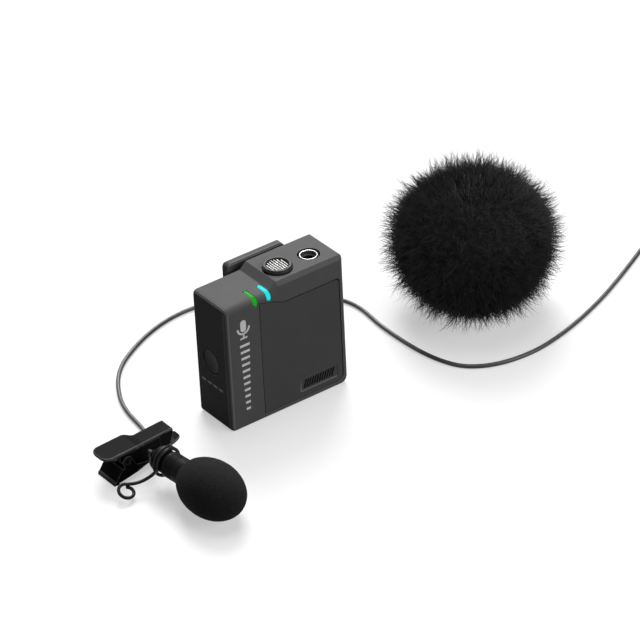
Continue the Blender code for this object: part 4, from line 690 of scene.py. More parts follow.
def coil_route(mean_radius):
    """From the laid part's end through the turns and out to the plug."""
    exit_heading = math.radians(COIL_EXIT_HEADING)
    total = COIL_LOOPS + (COIL_ENTRY_HEADING - exit_heading) / (2 * math.pi) % 1
    turns = total / COIL_LAYERS
    outer = mean_radius + turns * COIL_PITCH / 2
    start_angle = COIL_ENTRY_HEADING + math.pi / 2
    centre = (COIL_ENTRY + flat(COIL_ENTRY_HEADING, FIT_GAP + LEAD_DIAMETER)
              + flat(COIL_ENTRY_HEADING - math.pi / 2, outer))
    points = [COIL_ENTRY + flat(COIL_ENTRY_HEADING, FIT_GAP)]
    steps = math.ceil(total * COIL_STEPS)
    for k in range(steps + 1):
        turn = total * k / steps
        layer = min(COIL_LAYERS - 1, int(turn / turns))
        share = turn / turns - layer
        radius = outer - turns * COIL_PITCH * (1 - share if layer % 2 else share)
        rise = sum(eased((turn - reversal * turns) / 0.5 + 0.5)
                   for reversal in range(1, COIL_LAYERS))
        points.append(centre + flat(start_angle - 2 * math.pi * turn, radius)
                      + Vector((0, 0, COIL_LAYER_RISE * rise)))
    last = points[-1]
    points.append(last + flat(exit_heading, COIL_TAIL_LEVEL / 2))
    sinking = COIL_TAIL - 2 * LEAD_DIAMETER - COIL_TAIL_LEVEL
    for share in (k / 8 for k in range(9)):
        drop = (last.z - PLUG_SHELL_RADIUS) * eased(share)
        points.append(last + flat(exit_heading, COIL_TAIL_LEVEL + sinking * share)
                      - Vector((0, 0, drop)))
    end = last + flat(exit_heading, COIL_TAIL)
    end.z = PLUG_SHELL_RADIUS
    return points + [end]


def fitted_coil(wanted):
    """The coil whose line has the wanted length."""
    low = COIL_LOOPS * COIL_PITCH / COIL_LAYERS / 2
    high = 10 * low
    for _ in range(30):
        middle = (low + high) / 2
        if travelled(coil_route(middle))[-1] < wanted:
            low = middle
        else:
            high = middle
    return coil_route(middle)


def cord_object(name, points, diameter):
    curve = bpy.data.curves.new(name, "CURVE")
    curve.dimensions = "3D"
    curve.bevel_depth = diameter / 2 * MM
    curve.bevel_resolution = 3
    curve.use_fill_caps = True
    spline = curve.splines.new("POLY")
    spline.points.add(len(points) - 1)
    for spot, point in zip(spline.points, points):
        spot.co = (*(MM * point), 1.0)
    return new_object(name, curve)


lead_line = laid + fitted_coil(LEAD_LENGTH - travelled(laid)[-1])
lead = cord_object("lead_line", lead_line, LEAD_DIAMETER)
dress(lead, LEAD_JACKET, "lead", ("lead", "lead_coil"))
print("whole lead", round(travelled(lead_line)[-1], 1), "mm")

# %% [markdown]
# The plug is the standard 3.5 mm one with three contacts. Its shell is turned with shallow grip
# rings, the rubber boot behind it has ribs so that it bends evenly, and the contacts are plated.
# Each of them is a short turned piece on the lead's last line.

# %% Plug
PLUG_PLACE = placed(lead_line[-1], COIL_EXIT_HEADING) @ placed((0, 0, 0), 90, "Y")
CONTACT = 1.75
PLUG_BOOT_LENGTH = 8.0
SHELL_START = FIT_GAP + PLUG_BOOT_LENGTH + FIT_GAP
SHELL_LENGTH = 14.0
SHELL_SOFT = 1.0


def ribbed_boot(start, length, thin, thick, ribs):
    """Profile of a tapered boot with grooves between its ribs."""
    outer = []
    reach = length / ribs
    for k in range(ribs):
        at = start + length * k / ribs
        here, there = (thin + (thick - thin) * n / ribs for n in (k, k + 1))
        groove = 0.82 if k < ribs - 1 else 1.0
        outer += [(here, at), (there, at + 0.62 * reach), (there * groove, at + 0.70 * reach),
                  (there * groove, at + 0.98 * reach)]
    return [(0, start), *outer, (thick, start + length), (0, start + length)]


def grooves(radius, depth, start, pitch, number, slope, width):
    """Part of a profile: equal grooves along a straight wall."""
    points = []
    for k in range(number):
        at = start + pitch * k
        points += [(radius, at), (radius - depth, at + slope), (radius - depth, at + width - slope),
                   (radius, at + width)]
    return points


def grip_shell(start, radius):
    end = start + SHELL_LENGTH
    return [(0, start), (radius - SHELL_SOFT, start), (radius, start + SHELL_SOFT),
            *grooves(radius, 0.18, start + 3.0, 0.9, 6, 0.12, 0.5),
            (radius, end - SHELL_SOFT / 2), (radius - SHELL_SOFT / 2, end), (0, end)]


def contact_rows():
    """Name, node, finish, profile and rounding of the contacts and the rings between them."""
    rows = []
    at = SHELL_START + SHELL_LENGTH + FIT_GAP
    for name, node, span, finish in (
            ("plug_contact_sleeve", "plug_sleeve", 7.2, GOLD),
            ("plug_ring_of_plastic_1", "plug_insulator_1", 0.7, INSULATOR),
            ("plug_contact_ring", "plug_ring", 2.2, GOLD),
            ("plug_ring_of_plastic_2", "plug_insulator_2", 0.7, INSULATOR)):
        rows.append((name, node, finish, [(0, at), (CONTACT, at), (CONTACT, at + span),
                                          (0, at + span)], 0.05))
        at += span + FIT_GAP
    tip = [(0, 0), (0.75, 0), (0.75, 0.8), (1, 1.6), (0.92, 2.3), (0.3, 4.0), (0, 4.0)]
    tip = [(CONTACT * share, at + h) for share, h in tip]
    return rows + [("plug_contact_tip", "plug_tip", GOLD, tip, 0.25)]


plug_rows = [("plug_boot", "plug_strain_relief", RUBBER,
              ribbed_boot(FIT_GAP, PLUG_BOOT_LENGTH, 1.2, 1.8, 5), 0.08),
             ("plug_grip_shell", "plug_shell", PLUG_SHELL,
              grip_shell(SHELL_START, PLUG_SHELL_RADIUS), 0.05), *contact_rows()]
plug_pieces = [turned_piece(*row, PLUG_PLACE, 48) for row in plug_rows]
tuple(MM * lead_line[0])

# %% [markdown]
# The transmitter's case is one moulded shell with a front panel set into it, and a back cover.
# Their solids already have every opening in the right place, so the visual pieces are copies of
# them whose sharp edges get a small rounding, as a mould leaves. That keeps all gaps true.

# %% Transmitter: case, panel and cover
BODY_WIDTH = 42.3
BODY_HEIGHT = 44.0
FRONT_Y = -8.0
LOW_TOP = BODY_HEIGHT - 2.1
PANEL_LEFT = -8.9
BADGE_LEFT = 4.3
BADGE_WIDTH = 13.2
BADGE_LOW = 3.5
BADGE_HEIGHT = 4.3
BADGE_FLOOR = FRONT_Y + 0.3


def light_lips(piece, lip):
    """The panel's rim carries painted shade, but its left end and the badge's lips get a painted
    highlight.
    """
    piece.data.materials.append(lip)
    near = 0.3
    for face in piece.data.polygons:
        x, _, z = face.center / MM
        in_badge = (BADGE_LEFT - near < x < BADGE_LEFT + BADGE_WIDTH + near
                    and BADGE_LOW - near < z < BADGE_LOW + BADGE_HEIGHT + near)
        if face.material_index == 1 and (in_badge or x < PANEL_LEFT + near):
            face.material_index = 2


eased_copy("housing", "case_shell", CASE, 0.14, CASE_EDGE_HIGHLIGHT)
light_lips(eased_copy("front_panel", "case_front_panel", PANEL, 0.16, PANEL_RIM_SHADE), CASE_EDGE_HIGHLIGHT)
eased_copy("back_cover", "case_back_cover", CASE_LOWER, 0.08, CASE_EDGE_HIGHLIGHT)

# %% [markdown]
# Things that repeat at one pitch are a job for Geometry Nodes. This class adds a named input for
# each size, ends every tree with Realize Instances and Set Material, and gives the result as a
# plain mesh.


# %% Helpers: a Geometry Nodes piece
class Growth(Nodes):
    """A geometry node tree with named inputs."""

    def __init__(self, name):
        super().__init__(bpy.data.node_groups.new(name, "GeometryNodeTree"))
        self.tree.interface.new_socket("Geometry", in_out="OUTPUT",
                                       socket_type="NodeSocketGeometry")
        self.source = self.tree.nodes.new("NodeGroupInput")
        self.values = {}

    def size(self, name, value):
        socket = self.tree.interface.new_socket(name, in_out="INPUT",
                                                socket_type="NodeSocketFloat")
        self.values[socket.identifier] = value
        return Signal(self, self.source.outputs[name])

    def carrier(self, name):
        """Input for the mesh that the tree grows on; it has to be the first one."""
        self.tree.interface.new_socket(name, in_out="INPUT", socket_type="NodeSocketGeometry")
        return Signal(self, self.source.outputs[name])

    def vector(self, x=0.0, y=0.0, z=0.0):
        return self.node("ShaderNodeCombineXYZ", {"X": x, "Y": y, "Z": z})

    def joined(self, signals):
        join = self.tree.nodes.new("GeometryNodeJoinGeometry")
        for signal in signals:
            self.tree.links.new(signal.socket, join.inputs[0])
        return Signal(self, join.outputs[0])

    def copies(self, points, shape, **more):
        return self.node("GeometryNodeInstanceOnPoints",
                         {"Points": points, "Instance": shape, **more})

    def moved(self, signal, spot, turn=(0, 0, 0)):
        return self.node("GeometryNodeTransform", {"Geometry": signal, "Rotation": tuple(turn),
                                                   "Translation": tuple(MM * Vector(spot))})

    def grown(self, signal, material, carrier=None):
        """Ends the tree, runs it and gives its result as a plain mesh."""
        real = self.node("GeometryNodeRealizeInstances", {"Geometry": signal})
        made = self.node("GeometryNodeSetMaterial", {"Geometry": real, "Material": material})
        end = self.tree.nodes.new("NodeGroupOutput")
        self.tree.links.new(made.socket, end.inputs[0])
        piece = new_object("grown", carrier or bpy.data.meshes.new("grown"))
        modifier = piece.modifiers.new("tree", "NODES")
        modifier.node_group = self.tree
        for identifier, value in self.values.items():
            modifier[identifier] = value
        mesh = settled(piece).data
        bpy.data.objects.remove(piece)
        return mesh


def mended(mesh):
    """The mesh with all its faces turned outward."""
    bm = bmesh.new()
    bm.from_mesh(mesh)
    bpy.data.meshes.remove(mesh)
    return mesh_of(bm)


print("growth ready")

# %% [markdown]
# The lower right of the panel has a shallow badge recess. It carries plain slanted ribs here,
# which catch the light like a moulded texture does: a line of points with one small bar on each.

# %% Transmitter: ribs in the badge recess
BADGE_RIM = 1.5


def badge_ribs():
    tree = Growth("badge_ribs")
    pitch = tree.size("Pitch", 0.92 * MM)
    length = tree.size("Length", (BADGE_HEIGHT - BADGE_RIM) * MM)
    width = tree.size("Width", 0.38 * MM)
    lean = tree.size("Lean", math.radians(18))
    row = tree.node("GeometryNodeMeshLine", {"Count": 12, "Offset": tree.vector(x=pitch)},
                    mode="OFFSET")
    bar = tree.node("GeometryNodeMeshCube",
                    {"Size": tree.vector(width, width, length), "Vertices X": 2,
                     "Vertices Y": 2, "Vertices Z": 2})
    ribs = tree.copies(row, bar, Rotation=tree.vector(y=lean))
    start = (BADGE_LEFT + BADGE_RIM, BADGE_FLOOR, BADGE_LOW + BADGE_HEIGHT / 2)
    return tree.grown(tree.moved(ribs, start), BADGE_RIB)


show("badge_ribs", mended(badge_ribs()), BADGE_RIB, "front_panel", ())

# %% [markdown]
# Two light guides bend over the front edge of the case's low shoulder. Each is a strip of clear
# plastic with round ends, lit from below. A guide is lofted along the same path as its slot, and
# its cross-section gets rounded corners, so that its edge shows a thin brighter line.

# %% Transmitter: status lights
LIGHT_WIDTH = 1.3
LIGHT_THICKNESS = 0.9
LIGHT_BACK_Y = -2.6
LIGHT_LOW_Z = 39.3
LIGHT_BEND = 2.0
ROUND_END_AT = (0.0, 0.06, 0.14, 0.25, 0.40, 0.60, 0.85)


def guide_path():
    """Y, Z and outward direction along a guide, from its end on the top to its low end."""
    bend = FRONT_Y + LIGHT_BEND
    low = LOW_TOP - LIGHT_BEND
    path = [(LIGHT_BACK_Y + (bend - LIGHT_BACK_Y) * k / 8, LOW_TOP, 0.0) for k in range(9)]
    for angle in (math.pi / 2 * k / 12 for k in range(1, 13)):
        path.append((bend - LIGHT_BEND * math.sin(angle), low + LIGHT_BEND * math.cos(angle),
                     angle))
    return path + [(FRONT_Y, low + (LIGHT_LOW_Z - low) * k / 4, math.pi / 2) for k in range(1, 5)]


def strip_section(centre, across, out, half_width, half_depth):
    """Rounded rectangle of 20 points about a centre."""
    soft = min(0.2, 0.8 * half_width)
    ring = []
    for sx, sy, turn in ((1, 1, 0), (-1, 1, 1), (-1, -1, 2), (1, -1, 3)):
        for angle in (math.pi / 2 * (turn + k / 4) for k in range(5)):
            ring.append(centre + across * (sx * (half_width - soft) + soft * math.cos(angle))
                        + out * (sy * (half_depth - soft) + soft * math.sin(angle)))
    return ring


def guide_rings(x):
    rings = []
    path = guide_path()
    marks = travelled([Vector(row[:2]) for row in path])
    ends = [share * LIGHT_WIDTH for share in ROUND_END_AT]
    for mark in sorted(ends + marks[1:-1] + [marks[-1] - end for end in ends]):
        k = max(i for i in range(len(path) - 1) if marks[i] <= mark + 1e-6)
        y, z, angle = Vector(path[k]).lerp(Vector(path[k + 1]),
                                           (mark - marks[k]) / (marks[k + 1] - marks[k]))
        out = Vector((0, -math.sin(angle), math.cos(angle)))
        end = min(mark, marks[-1] - mark)
        half = LIGHT_WIDTH / 2
        if end < half:
            half = math.sqrt(max(half * half - (half - end) ** 2, (0.12 * half) ** 2))
        centre = Vector((x, y, z)) - out * LIGHT_THICKNESS / 2
        rings.append(strip_section(centre, Vector((1, 0, 0)), out, half, LIGHT_THICKNESS / 2))
    return rings


for name, node, x, finish in (("light_guide_green", "status_light_green", -10.2, GREEN),
                              ("light_guide_cyan", "status_light_cyan", -5.4, CYAN)):
    show(name, lofted(guide_rings(x)), finish, node, crease=60)

# %% [markdown]
# The built-in microphone looks up through a mesh in a black bezel. The bezel is a turned ring
# with one step. The mesh is woven from steel wire: thick straight wires run to the back, and thin
# ones cross them, over one and under the next. Geometry Nodes sweep each line into a round wire,
# whose share of the full thickness is stored on its points.

# %% Transmitter: built-in microphone
MIC_X = 2.8
MIC_Y = -1.2
BEZEL_LOW = BODY_HEIGHT - 0.3
BEZEL_TOP = BODY_HEIGHT + 1.2
BEZEL_PROFILE = [(3.2, BEZEL_LOW - 1.6), (3.6, BEZEL_LOW - 1.6), (3.6, BEZEL_LOW),
                 (4.5, BEZEL_LOW), (4.5, BODY_HEIGHT + 0.55), (4.32, BODY_HEIGHT + 0.72),
                 (4.2, BEZEL_TOP), (3.5, BEZEL_TOP), (3.2, BEZEL_TOP - 0.3)]
WEAVE_PITCH = 0.84
WEAVE_WIRE = 0.38
THIN_SHARE = 0.30
THIN_RISE = (1 + THIN_SHARE) * WEAVE_WIRE / 2
WEAVE_RADIUS = 3.08
WEAVE_Z = BEZEL_TOP - 0.58


def weave_lines():
    """Wires of the weave as one mesh of bare edges, ready to be swept by the tree."""
    bm = bmesh.new()
    slim = bm.verts.layers.float.new("slim")
    half = int(WEAVE_RADIUS / WEAVE_PITCH)
    for thin in (0, 1):
        for n in range(-half, half + 1):
            place = n * WEAVE_PITCH
            reach = math.sqrt(WEAVE_RADIUS ** 2 - place ** 2)
            steps = max(2, round(2 * reach / (WEAVE_PITCH / 3)))
            before = None
            for k in range(steps + 1):
                along = -reach + 2 * reach * k / steps
                wave = thin * THIN_RISE * math.cos(math.pi * (along / WEAVE_PITCH + n))
                x, y = (along, place) if thin else (place, along)
                spot = bm.verts.new(MM * Vector((MIC_X + x, MIC_Y + y, WEAVE_Z + wave)))
                spot[slim] = THIN_SHARE if thin else 1.0
                if before:
                    bm.edges.new((before, spot))
                before = spot
    return mesh_of(bm, mend_normals=False)


def woven_mesh():
    tree = Growth("woven_mesh")
    curves = tree.node("GeometryNodeMeshToCurve", {"Mesh": tree.carrier("Lines")})
    thickness = tree.size("Wire radius", WEAVE_WIRE / 2 * MM)
    circle = tree.node("GeometryNodeCurvePrimitiveCircle", {"Resolution": 6, "Radius": thickness})
    share = tree.node("GeometryNodeInputNamedAttribute", {"Name": "slim"}, data_type="FLOAT")
    wires = tree.node("GeometryNodeCurveToMesh", {"Curve": curves, "Profile Curve": circle,
                                                  "Fill Caps": True, "Scale": share})
    return tree.grown(wires, MESH_STEEL, weave_lines())


turned_piece("microphone_bezel", "mic_bezel", BEZEL, BEZEL_PROFILE, 0.16,
             placed((MIC_X, MIC_Y, 0)), 96)
show("woven_mesh", mended(woven_mesh()), MESH_STEEL, "mic_mesh", crease=80)

# %% [markdown]
# The jack's bushing is a turned metal ring sunk into a wider round hole. Only its lip is bright:
# round it and in the bore everything is near black, partly the jack's black plastic and partly
# painted shade of the hole and of the deep bore where the plug's contacts sit. So it is two turned
# pieces, a black barrel and the ring in its mouth. Heights are counted from the case's top.

# %% Transmitter: jack bushing
JACK_PLACE = placed((14.0, -1.1, BODY_HEIGHT))
JACK_BARREL = [(1.8, -3.6), (3.0, -3.6), (3.0, -0.30), (2.85, -0.45), (2.85, -0.9), (2.2, -0.9),
               (2.2, -1.3), (1.8, -1.6)]
JACK_RING = [(2.36, -0.88), (2.74, -0.88), (2.74, -0.34), (2.64, -0.20), (2.46, -0.20),
             (2.36, -0.34)]
# The barrel's near black is partly the jack's own plastic and partly painted shade in the hole
# round the ring.
turned_piece("jack_barrel", "jack_bushing", JACK_BLOCK, JACK_BARREL, 0.05, JACK_PLACE, 96)
turned_piece("jack_ring", "jack_bushing", NICKEL, JACK_RING, 0.12, JACK_PLACE, 96, 4, ())

# %% [markdown]
# The mute button on the left face and the power button on the right are round caps with a flange
# inside the case, which keeps them from falling out. A shallow dish in the cap guides the finger,
# and a fine ring marks its rim. Both are turned from profiles along the X axis.

# %% Transmitter: buttons
BUTTON_FACE = BODY_WIDTH / 2 - 0.1
FLANGE_TOP = BODY_WIDTH / 2 - 1.5
FLANGE_LOW = FLANGE_TOP - 0.6
BUTTON_SPOT = (0, 0.6, 20.6)


def button_profile(radius):
    wide = radius + 0.9
    dish = radius - 0.78
    profile = [(0, FLANGE_LOW), (wide, FLANGE_LOW), (wide, FLANGE_TOP), (radius, FLANGE_TOP),
               (radius, BUTTON_FACE - 0.22), (radius - 0.22, BUTTON_FACE),
               (radius - 0.50, BUTTON_FACE), (radius - 0.62, BUTTON_FACE - 0.10)]
    for left in (1 - k / 8 for k in range(9)):
        profile.append((dish * left, BUTTON_FACE - 0.06 - 0.14 * (1 - left * left)))
    return profile


for name, node, radius, side in (("mute_cap", "mute_button", 4.0, -90),
                                 ("power_cap", "power_button", 2.6, 90)):
    turned_piece(name, node, BUTTON, button_profile(radius), 0.04,
                 placed(BUTTON_SPOT, side, "Y"), 96, 2)

# %% [markdown]
# Small marks are printed on the case: a plain microphone sign with a column of level bars on the
# front, and a few dim dashes under the mute button. Print is only a film, so each mark is a thin
# plate that stands 0.02 mm above the plastic, made from its outline.

# %% Transmitter: marks on the front and the left side
PRINT_RISE = 0.02
FRONT_FACE = placed((0, FRONT_Y, 0), 90, "X")
LEFT_FACE = placed((-BODY_WIDTH / 2, 0, 0), -90) @ placed((0, 0, 0), 90, "X")


def printed(name, outlines, place, material):
    """Thin plates from outlines in X and Y of place, standing up along its Z axis."""
    bm = bmesh.new()
    for outline in outlines:
        low, high = ([bm.verts.new(MM * (place @ Vector((x, y, rise)))) for x, y in outline]
                     for rise in (-PRINT_RISE, PRINT_RISE))
        bm.faces.new(high)
        bm.faces.new(low[::-1])
        walls(bm, low, high)
    return show(name, mesh_of(bm), material, "housing", ())


def bar(x, z, half_width, half_height):
    return [(x - half_width, z - half_height), (x + half_width, z - half_height),
            (x + half_width, z + half_height), (x - half_width, z + half_height)]


def arc(x, z, radius, start, end, steps):
    """Part of a circle, from and to these half turns."""
    angles = [math.pi * (start + (end - start) * k / steps) for k in range(steps + 1)]
    return [(x + radius * math.cos(a), z + radius * math.sin(a)) for a in angles]


def microphone_sign(x, z, size):
    """Capsule, cradle, stem and foot, as on any microphone symbol."""
    thick = 0.09 * size
    capsule = [arc(x, z + (0.14 + up) * size, 0.15 * size, start, start + 1, 8)
               for up, start in ((0.15, 0), (-0.15, 1))]
    cradle = (arc(x, z + 0.05 * size, 0.26 * size + thick, 1, 2, 12)
              + arc(x, z + 0.05 * size, 0.26 * size, 1, 2, 12)[::-1])
    return [capsule[0] + capsule[1], cradle, bar(x, z - 0.37 * size, thick / 2, 0.09 * size),
            bar(x, z - 0.48 * size, 0.19 * size, 0.04 * size)]


def level_bars(x, low, high, rows):
    """A column of level bars that get longer to the top."""
    pitch = (high - low) / rows
    return [bar(x, low + pitch * (k + 0.5), 0.75 + 0.95 * k / (rows - 1), 0.19 * pitch)
            for k in range(rows)]


printed("sign_microphone", microphone_sign(-15.0, 33.6, 6.6), FRONT_FACE, INK)
printed("sign_level_bars", level_bars(-14.8, 5.0, 29.0, 11), FRONT_FACE, INK)
printed("sign_button_dashes", [bar(y, 12.7, 1.0, 0.35) for y in (-4.9, -2.1, 0.7, 3.5)],
        LEFT_FACE, INK_DIM)

# %% [markdown]
# Four small screws hold the back cover. They are all alike, so one screw is turned and given a
# cross recess, and Geometry Nodes put it on the four posts. The recess is cut by an exact
# Boolean with two crossed bars, the way a driver's tip would fill it.

# %% Transmitter: cover screws
SCREW_TOP_Y = 7.65
SCREW_PLACES = [(-18.05, 3.1), (18.05, 3.1), (18.05, 26.5), (-18.05, 38.8)]
SCREW_PROFILE = [(0, -6.2), (0.35, -6.2), (0.7, -5.6), (0.7, -0.8), (1.3, -0.8), (1.3, -0.25),
                 (1.1, -0.06), (0, 0)]
DRIVER_BARS = [(0.72, 0.5, 0.16), (0.16, 0.5, 0.72)]


def one_screw():
    """Screw whose head's top lies at the origin and faces +Y."""
    form = turned(softened(SCREW_PROFILE, 0.06), placed((0, 0, 0), -90, "X"), 40)
    screw = new_object("cover_screw", form)
    cutters = []
    for halves in DRIVER_BARS:
        bm = bmesh.new()
        scaling = Matrix.Diagonal([half * MM for half in halves] + [1])
        bmesh.ops.create_cube(bm, size=2, matrix=scaling)
        cutters.append(new_object("driver_bar", mesh_of(bm)))
        cut = screw.modifiers.new("recess", "BOOLEAN")
        cut.solver = "EXACT"
        cut.object = cutters[-1]
    settled(screw)
    for cutter in cutters:
        bpy.data.objects.remove(cutter)
    return screw


def cover_screws(screw):
    tree = Growth("cover_screws")
    depth = tree.size("Head height", SCREW_TOP_Y * MM)
    posts = [tree.node("GeometryNodePoints", {"Position": tree.vector(x * MM, depth, z * MM)})
             for x, z in SCREW_PLACES]
    shape = tree.node("GeometryNodeObjectInfo", {"Object": screw}, "Geometry")
    return tree.grown(tree.copies(tree.joined(posts), shape), SCREW_BLACK)


pattern_screw = one_screw()
show("cover_screws", mended(cover_screws(pattern_screw)), SCREW_BLACK, "cover_screw_1",
     ("cover_screw_1", "cover_screw_2", "cover_screw_3", "cover_screw_4"))
bpy.data.objects.remove(pattern_screw)

# %% [markdown]
# Behind the case a sprung clip grips a belt or collar: a moulded plate that turns on a steel pin
# between two lugs. The lapel clip is bent from sheet and coated black: a lower jaw with ears, and
# an upper jaw with a pressing tab behind the pivot. Plate and jaws are softened copies of their
# solids, because their bores and grip grooves are already right. The pins have domed ends.

# %% Belt clip and lapel clip
CLIP_PIVOT = Vector((3.4, 9.7, 30.0))
JAW_PIVOT = Vector((-57.6, -3.9, 6.4))


def pin_profile(half, radius):
    dome = 0.35 * radius
    return [(0, -half), (radius - dome, -half), (radius, -half + dome), (radius, half - dome),
            (radius - dome, half), (0, half)]


eased_copy("belt_clip", "belt_clip_plate", CASE_LOWER, 0.14, CASE_EDGE_HIGHLIGHT)
turned_piece("belt_clip_steel_pin", "belt_clip_pin", SPRING, pin_profile(8.3, 0.5), 0.05,
             placed(CLIP_PIVOT, 90, "Y"), 32)
eased_copy("lapel_clip_lower_jaw", "lapel_jaw_lower", CLIP_BLACK, 0.16, CLIP_EDGE_HIGHLIGHT)
eased_copy("lapel_clip_upper_jaw", "lapel_jaw_upper", CLIP_BLACK, 0.16, CLIP_EDGE_HIGHLIGHT)
turned_piece("lapel_steel_pin", "lapel_clip_pin", CLIP_BLACK, pin_profile(4.6, 0.6), 0.05,
             placed(JAW_PIVOT, -90, "X"), 32)

# %% [markdown]
# Both clips are closed by torsion springs on their pins. One leg presses on the piece that stays
# and the other on the piece that turns, so a spring really twists as the clip opens.


# %% Springs of the two clips
def torsion_line(half, turns, radius, leg_a, leg_b):
    """Points of a spring wound about the X axis, with a straight leg that leaves at each end."""
    spread_a, spread_b = (math.acos(radius / leg.yz.length) for leg in (leg_a, leg_b))
    start = math.atan2(leg_a.z, leg_a.y) - spread_a
    sweep = math.atan2(leg_b.z, leg_b.y) + spread_b - start
    while sweep > -2 * math.pi * (turns - 1):
        sweep -= 2 * math.pi
    wound = []
    for share in (k / (turns * 24) for k in range(turns * 24 + 1)):
        angle = start + sweep * share
        wound.append(Vector((half * (2 * share - 1), radius * math.cos(angle),
                             radius * math.sin(angle))))
    first = [leg_a.lerp(wound[0], k / 8) for k in range(8)]
    return first + wound + [wound[-1].lerp(leg_b, k / 8) for k in range(1, 9)]


def add_spring(name, node, place, half, turns, radius, wire, legs):
    leg_a, leg_b = (Vector((side * half, *leg)) for side, leg in zip((-1, 1), legs))
    line = [place @ point for point in torsion_line(half, turns, radius, leg_a, leg_b)]
    spring = new_object(name, swept(line, wire / 2, 12))
    spring.data.materials.append(SPRING)
    spring.data.shade_smooth()
    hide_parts(node)
    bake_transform(spring)
    return counted(spring)


add_spring("belt_clip_wound_spring", "belt_clip_spring", placed(CLIP_PIVOT), 3.36, 6, 0.92, 0.34,
           ((-1.33, 6.0), (1.03, 6.0)))
add_spring("lapel_clip_wound_spring", "lapel_clip_spring", placed(JAW_PIVOT, 90), 1.35, 3, 1.15,
           0.5, ((5.2, 1.75), (0.8, -3.85)))

# %% [markdown]
# One piece of black wire holds the microphone. It starts in the clip's nose, winds one and a half
# times round the microphone's neck, comes down and ends in a small eye. The solid's wire is
# coarse, so the same route is swept again here with many more points and a round section.

# %% Holder wire
HOLDER_WIRE = 1.0
HOLDER_RING = 4.3
HOLDER_TURNS = 1.42
HOLDER_PITCH = 1.35
HOLDER_START = math.radians(30)
EAR_END = JAW_PIVOT.x + 2.9
NOSE_START = -43.5
EAR_HALF, NOSE_HALF = 4.4, 2.65
JAW_SLOPE = 0.182
JAW_HEEL_X = -62.8
EYE_CENTRE = Vector((-63.5, -15.5, 3.0))
EYE_RADIUS = 2.2
EYE_TILT = math.radians(26)
EYE_DROP = 1.12
STUB = [(-44.8, -9.8, 5.5), (-45.2, -13.0, 8.2)]
LEG = [(-55.1, -17.3, 5.9), (-56.2, -16.3, 4.6), (-58.0, -15.8, 4.0), (-60.0, -15.2, 3.8)]


def holder_route():
    x = STUB[0][0]
    share = (x - EAR_END) / (NOSE_START - EAR_END)
    half = EAR_HALF + (NOSE_HALF - EAR_HALF) * share
    foot = Vector((x, JAW_PIVOT.y - half - FIT_GAP, JAW_SLOPE * (x - JAW_HEEL_X) + 0.45))
    points = [foot, foot - Vector((0, HOLDER_WIRE, 0)), *STUB]
    steps = round(HOLDER_TURNS * 20)
    for share in (k / steps for k in range(steps + 1)):
        forward = Vector((0, 0, HOLDER_PITCH * (share - 0.5) * HOLDER_TURNS))
        points.append(LAV_PLACE @ (flat(HOLDER_START + 2 * math.pi * HOLDER_TURNS * share,
                                        HOLDER_RING) + forward))
    points += LEG
    tilt = Matrix.Rotation(EYE_TILT, 3, "X")
    for share in (k / 17 for k in range(18)):
        points.append(EYE_CENTRE + tilt @ flat(math.radians(50 + 372 * share), EYE_RADIUS)
                      - Vector((0, 0, EYE_DROP * share ** 2)))
    return smooth_route(points, 0.3)


show("holder_wire_round", swept(holder_route(), HOLDER_WIRE / 2, 18), WIRE_BLACK, "holder_wire",
     crease=70)

# %% [markdown]
# The lapel microphone is a small black tube. Behind the neck that the wire holds it has a flange,
# then a short ribbed boot from which the lead comes out. Fine grip rings run round the tube. A
# domed grille covers its front, hidden while the foam is on. Its holes lie on rings and are not
# cut:
# Geometry Nodes place a small dark disc for each, painted shade where the hole would be, which
# costs far less than cutting them.

# %% Lapel microphone: body, boot and grille
LAV_RADIUS = 3.9
LAV_LENGTH = 21.5
NECK_RADIUS = 3.5
LAV_REAR = -NECK_HALF - FLANGE_LENGTH
LAV_FLOOR = LAV_LENGTH - 2.6 - 2 * FIT_GAP
LAV_BORE = LAV_RADIUS - 0.6
LAV_PROFILE = [(0, LAV_REAR), (3.6, LAV_REAR), (LAV_RADIUS, LAV_REAR + 0.3),
               (LAV_RADIUS, -NECK_HALF), (NECK_RADIUS, -NECK_HALF), (NECK_RADIUS, NECK_HALF),
               (LAV_RADIUS, NECK_HALF),
               *grooves(LAV_RADIUS, 0.14, NECK_HALF + 1.3, 0.8, 4, 0.12, 0.42),
               (LAV_RADIUS, LAV_LENGTH), (LAV_BORE, LAV_LENGTH), (LAV_BORE, LAV_FLOOR),
               (0, LAV_FLOOR)]
GRILLE_LOW = LAV_LENGTH + FIT_GAP
GRILLE_TOP = GRILLE_LOW + 1.6
GRILLE_PROFILE = [(0, GRILLE_LOW), (LAV_RADIUS, GRILLE_LOW), (LAV_RADIUS, GRILLE_TOP - 0.65),
                  (LAV_RADIUS - 0.2, GRILLE_TOP - 0.25), (LAV_RADIUS - 0.65, GRILLE_TOP - 0.06),
                  (2.0, GRILLE_TOP - 0.02), (0, GRILLE_TOP)]
HOLE_RINGS = [(3, 0.01), (6, 0.62), (12, 1.24), (18, 1.86), (24, 2.48)]


def grille_holes():
    tree = Growth("grille_holes")
    hole = tree.size("Hole radius", 0.19 * MM)
    rings = [tree.node("GeometryNodeMeshCircle", {"Vertices": number, "Radius": radius * MM})
             for number, radius in HOLE_RINGS]
    # Each disc is a dark sheet on the grille, painted shade in place of a hole.
    disc = tree.node("GeometryNodeMeshCylinder",
                     {"Vertices": 12, "Radius": hole, "Depth": 0.05 * MM})
    holes = tree.copies(tree.joined(rings), disc)
    at = LAV_PLACE @ Vector((0, 0, GRILLE_TOP - 0.01))
    return tree.grown(tree.moved(holes, at, LAV_PLACE.to_euler()), JACK_BLOCK)


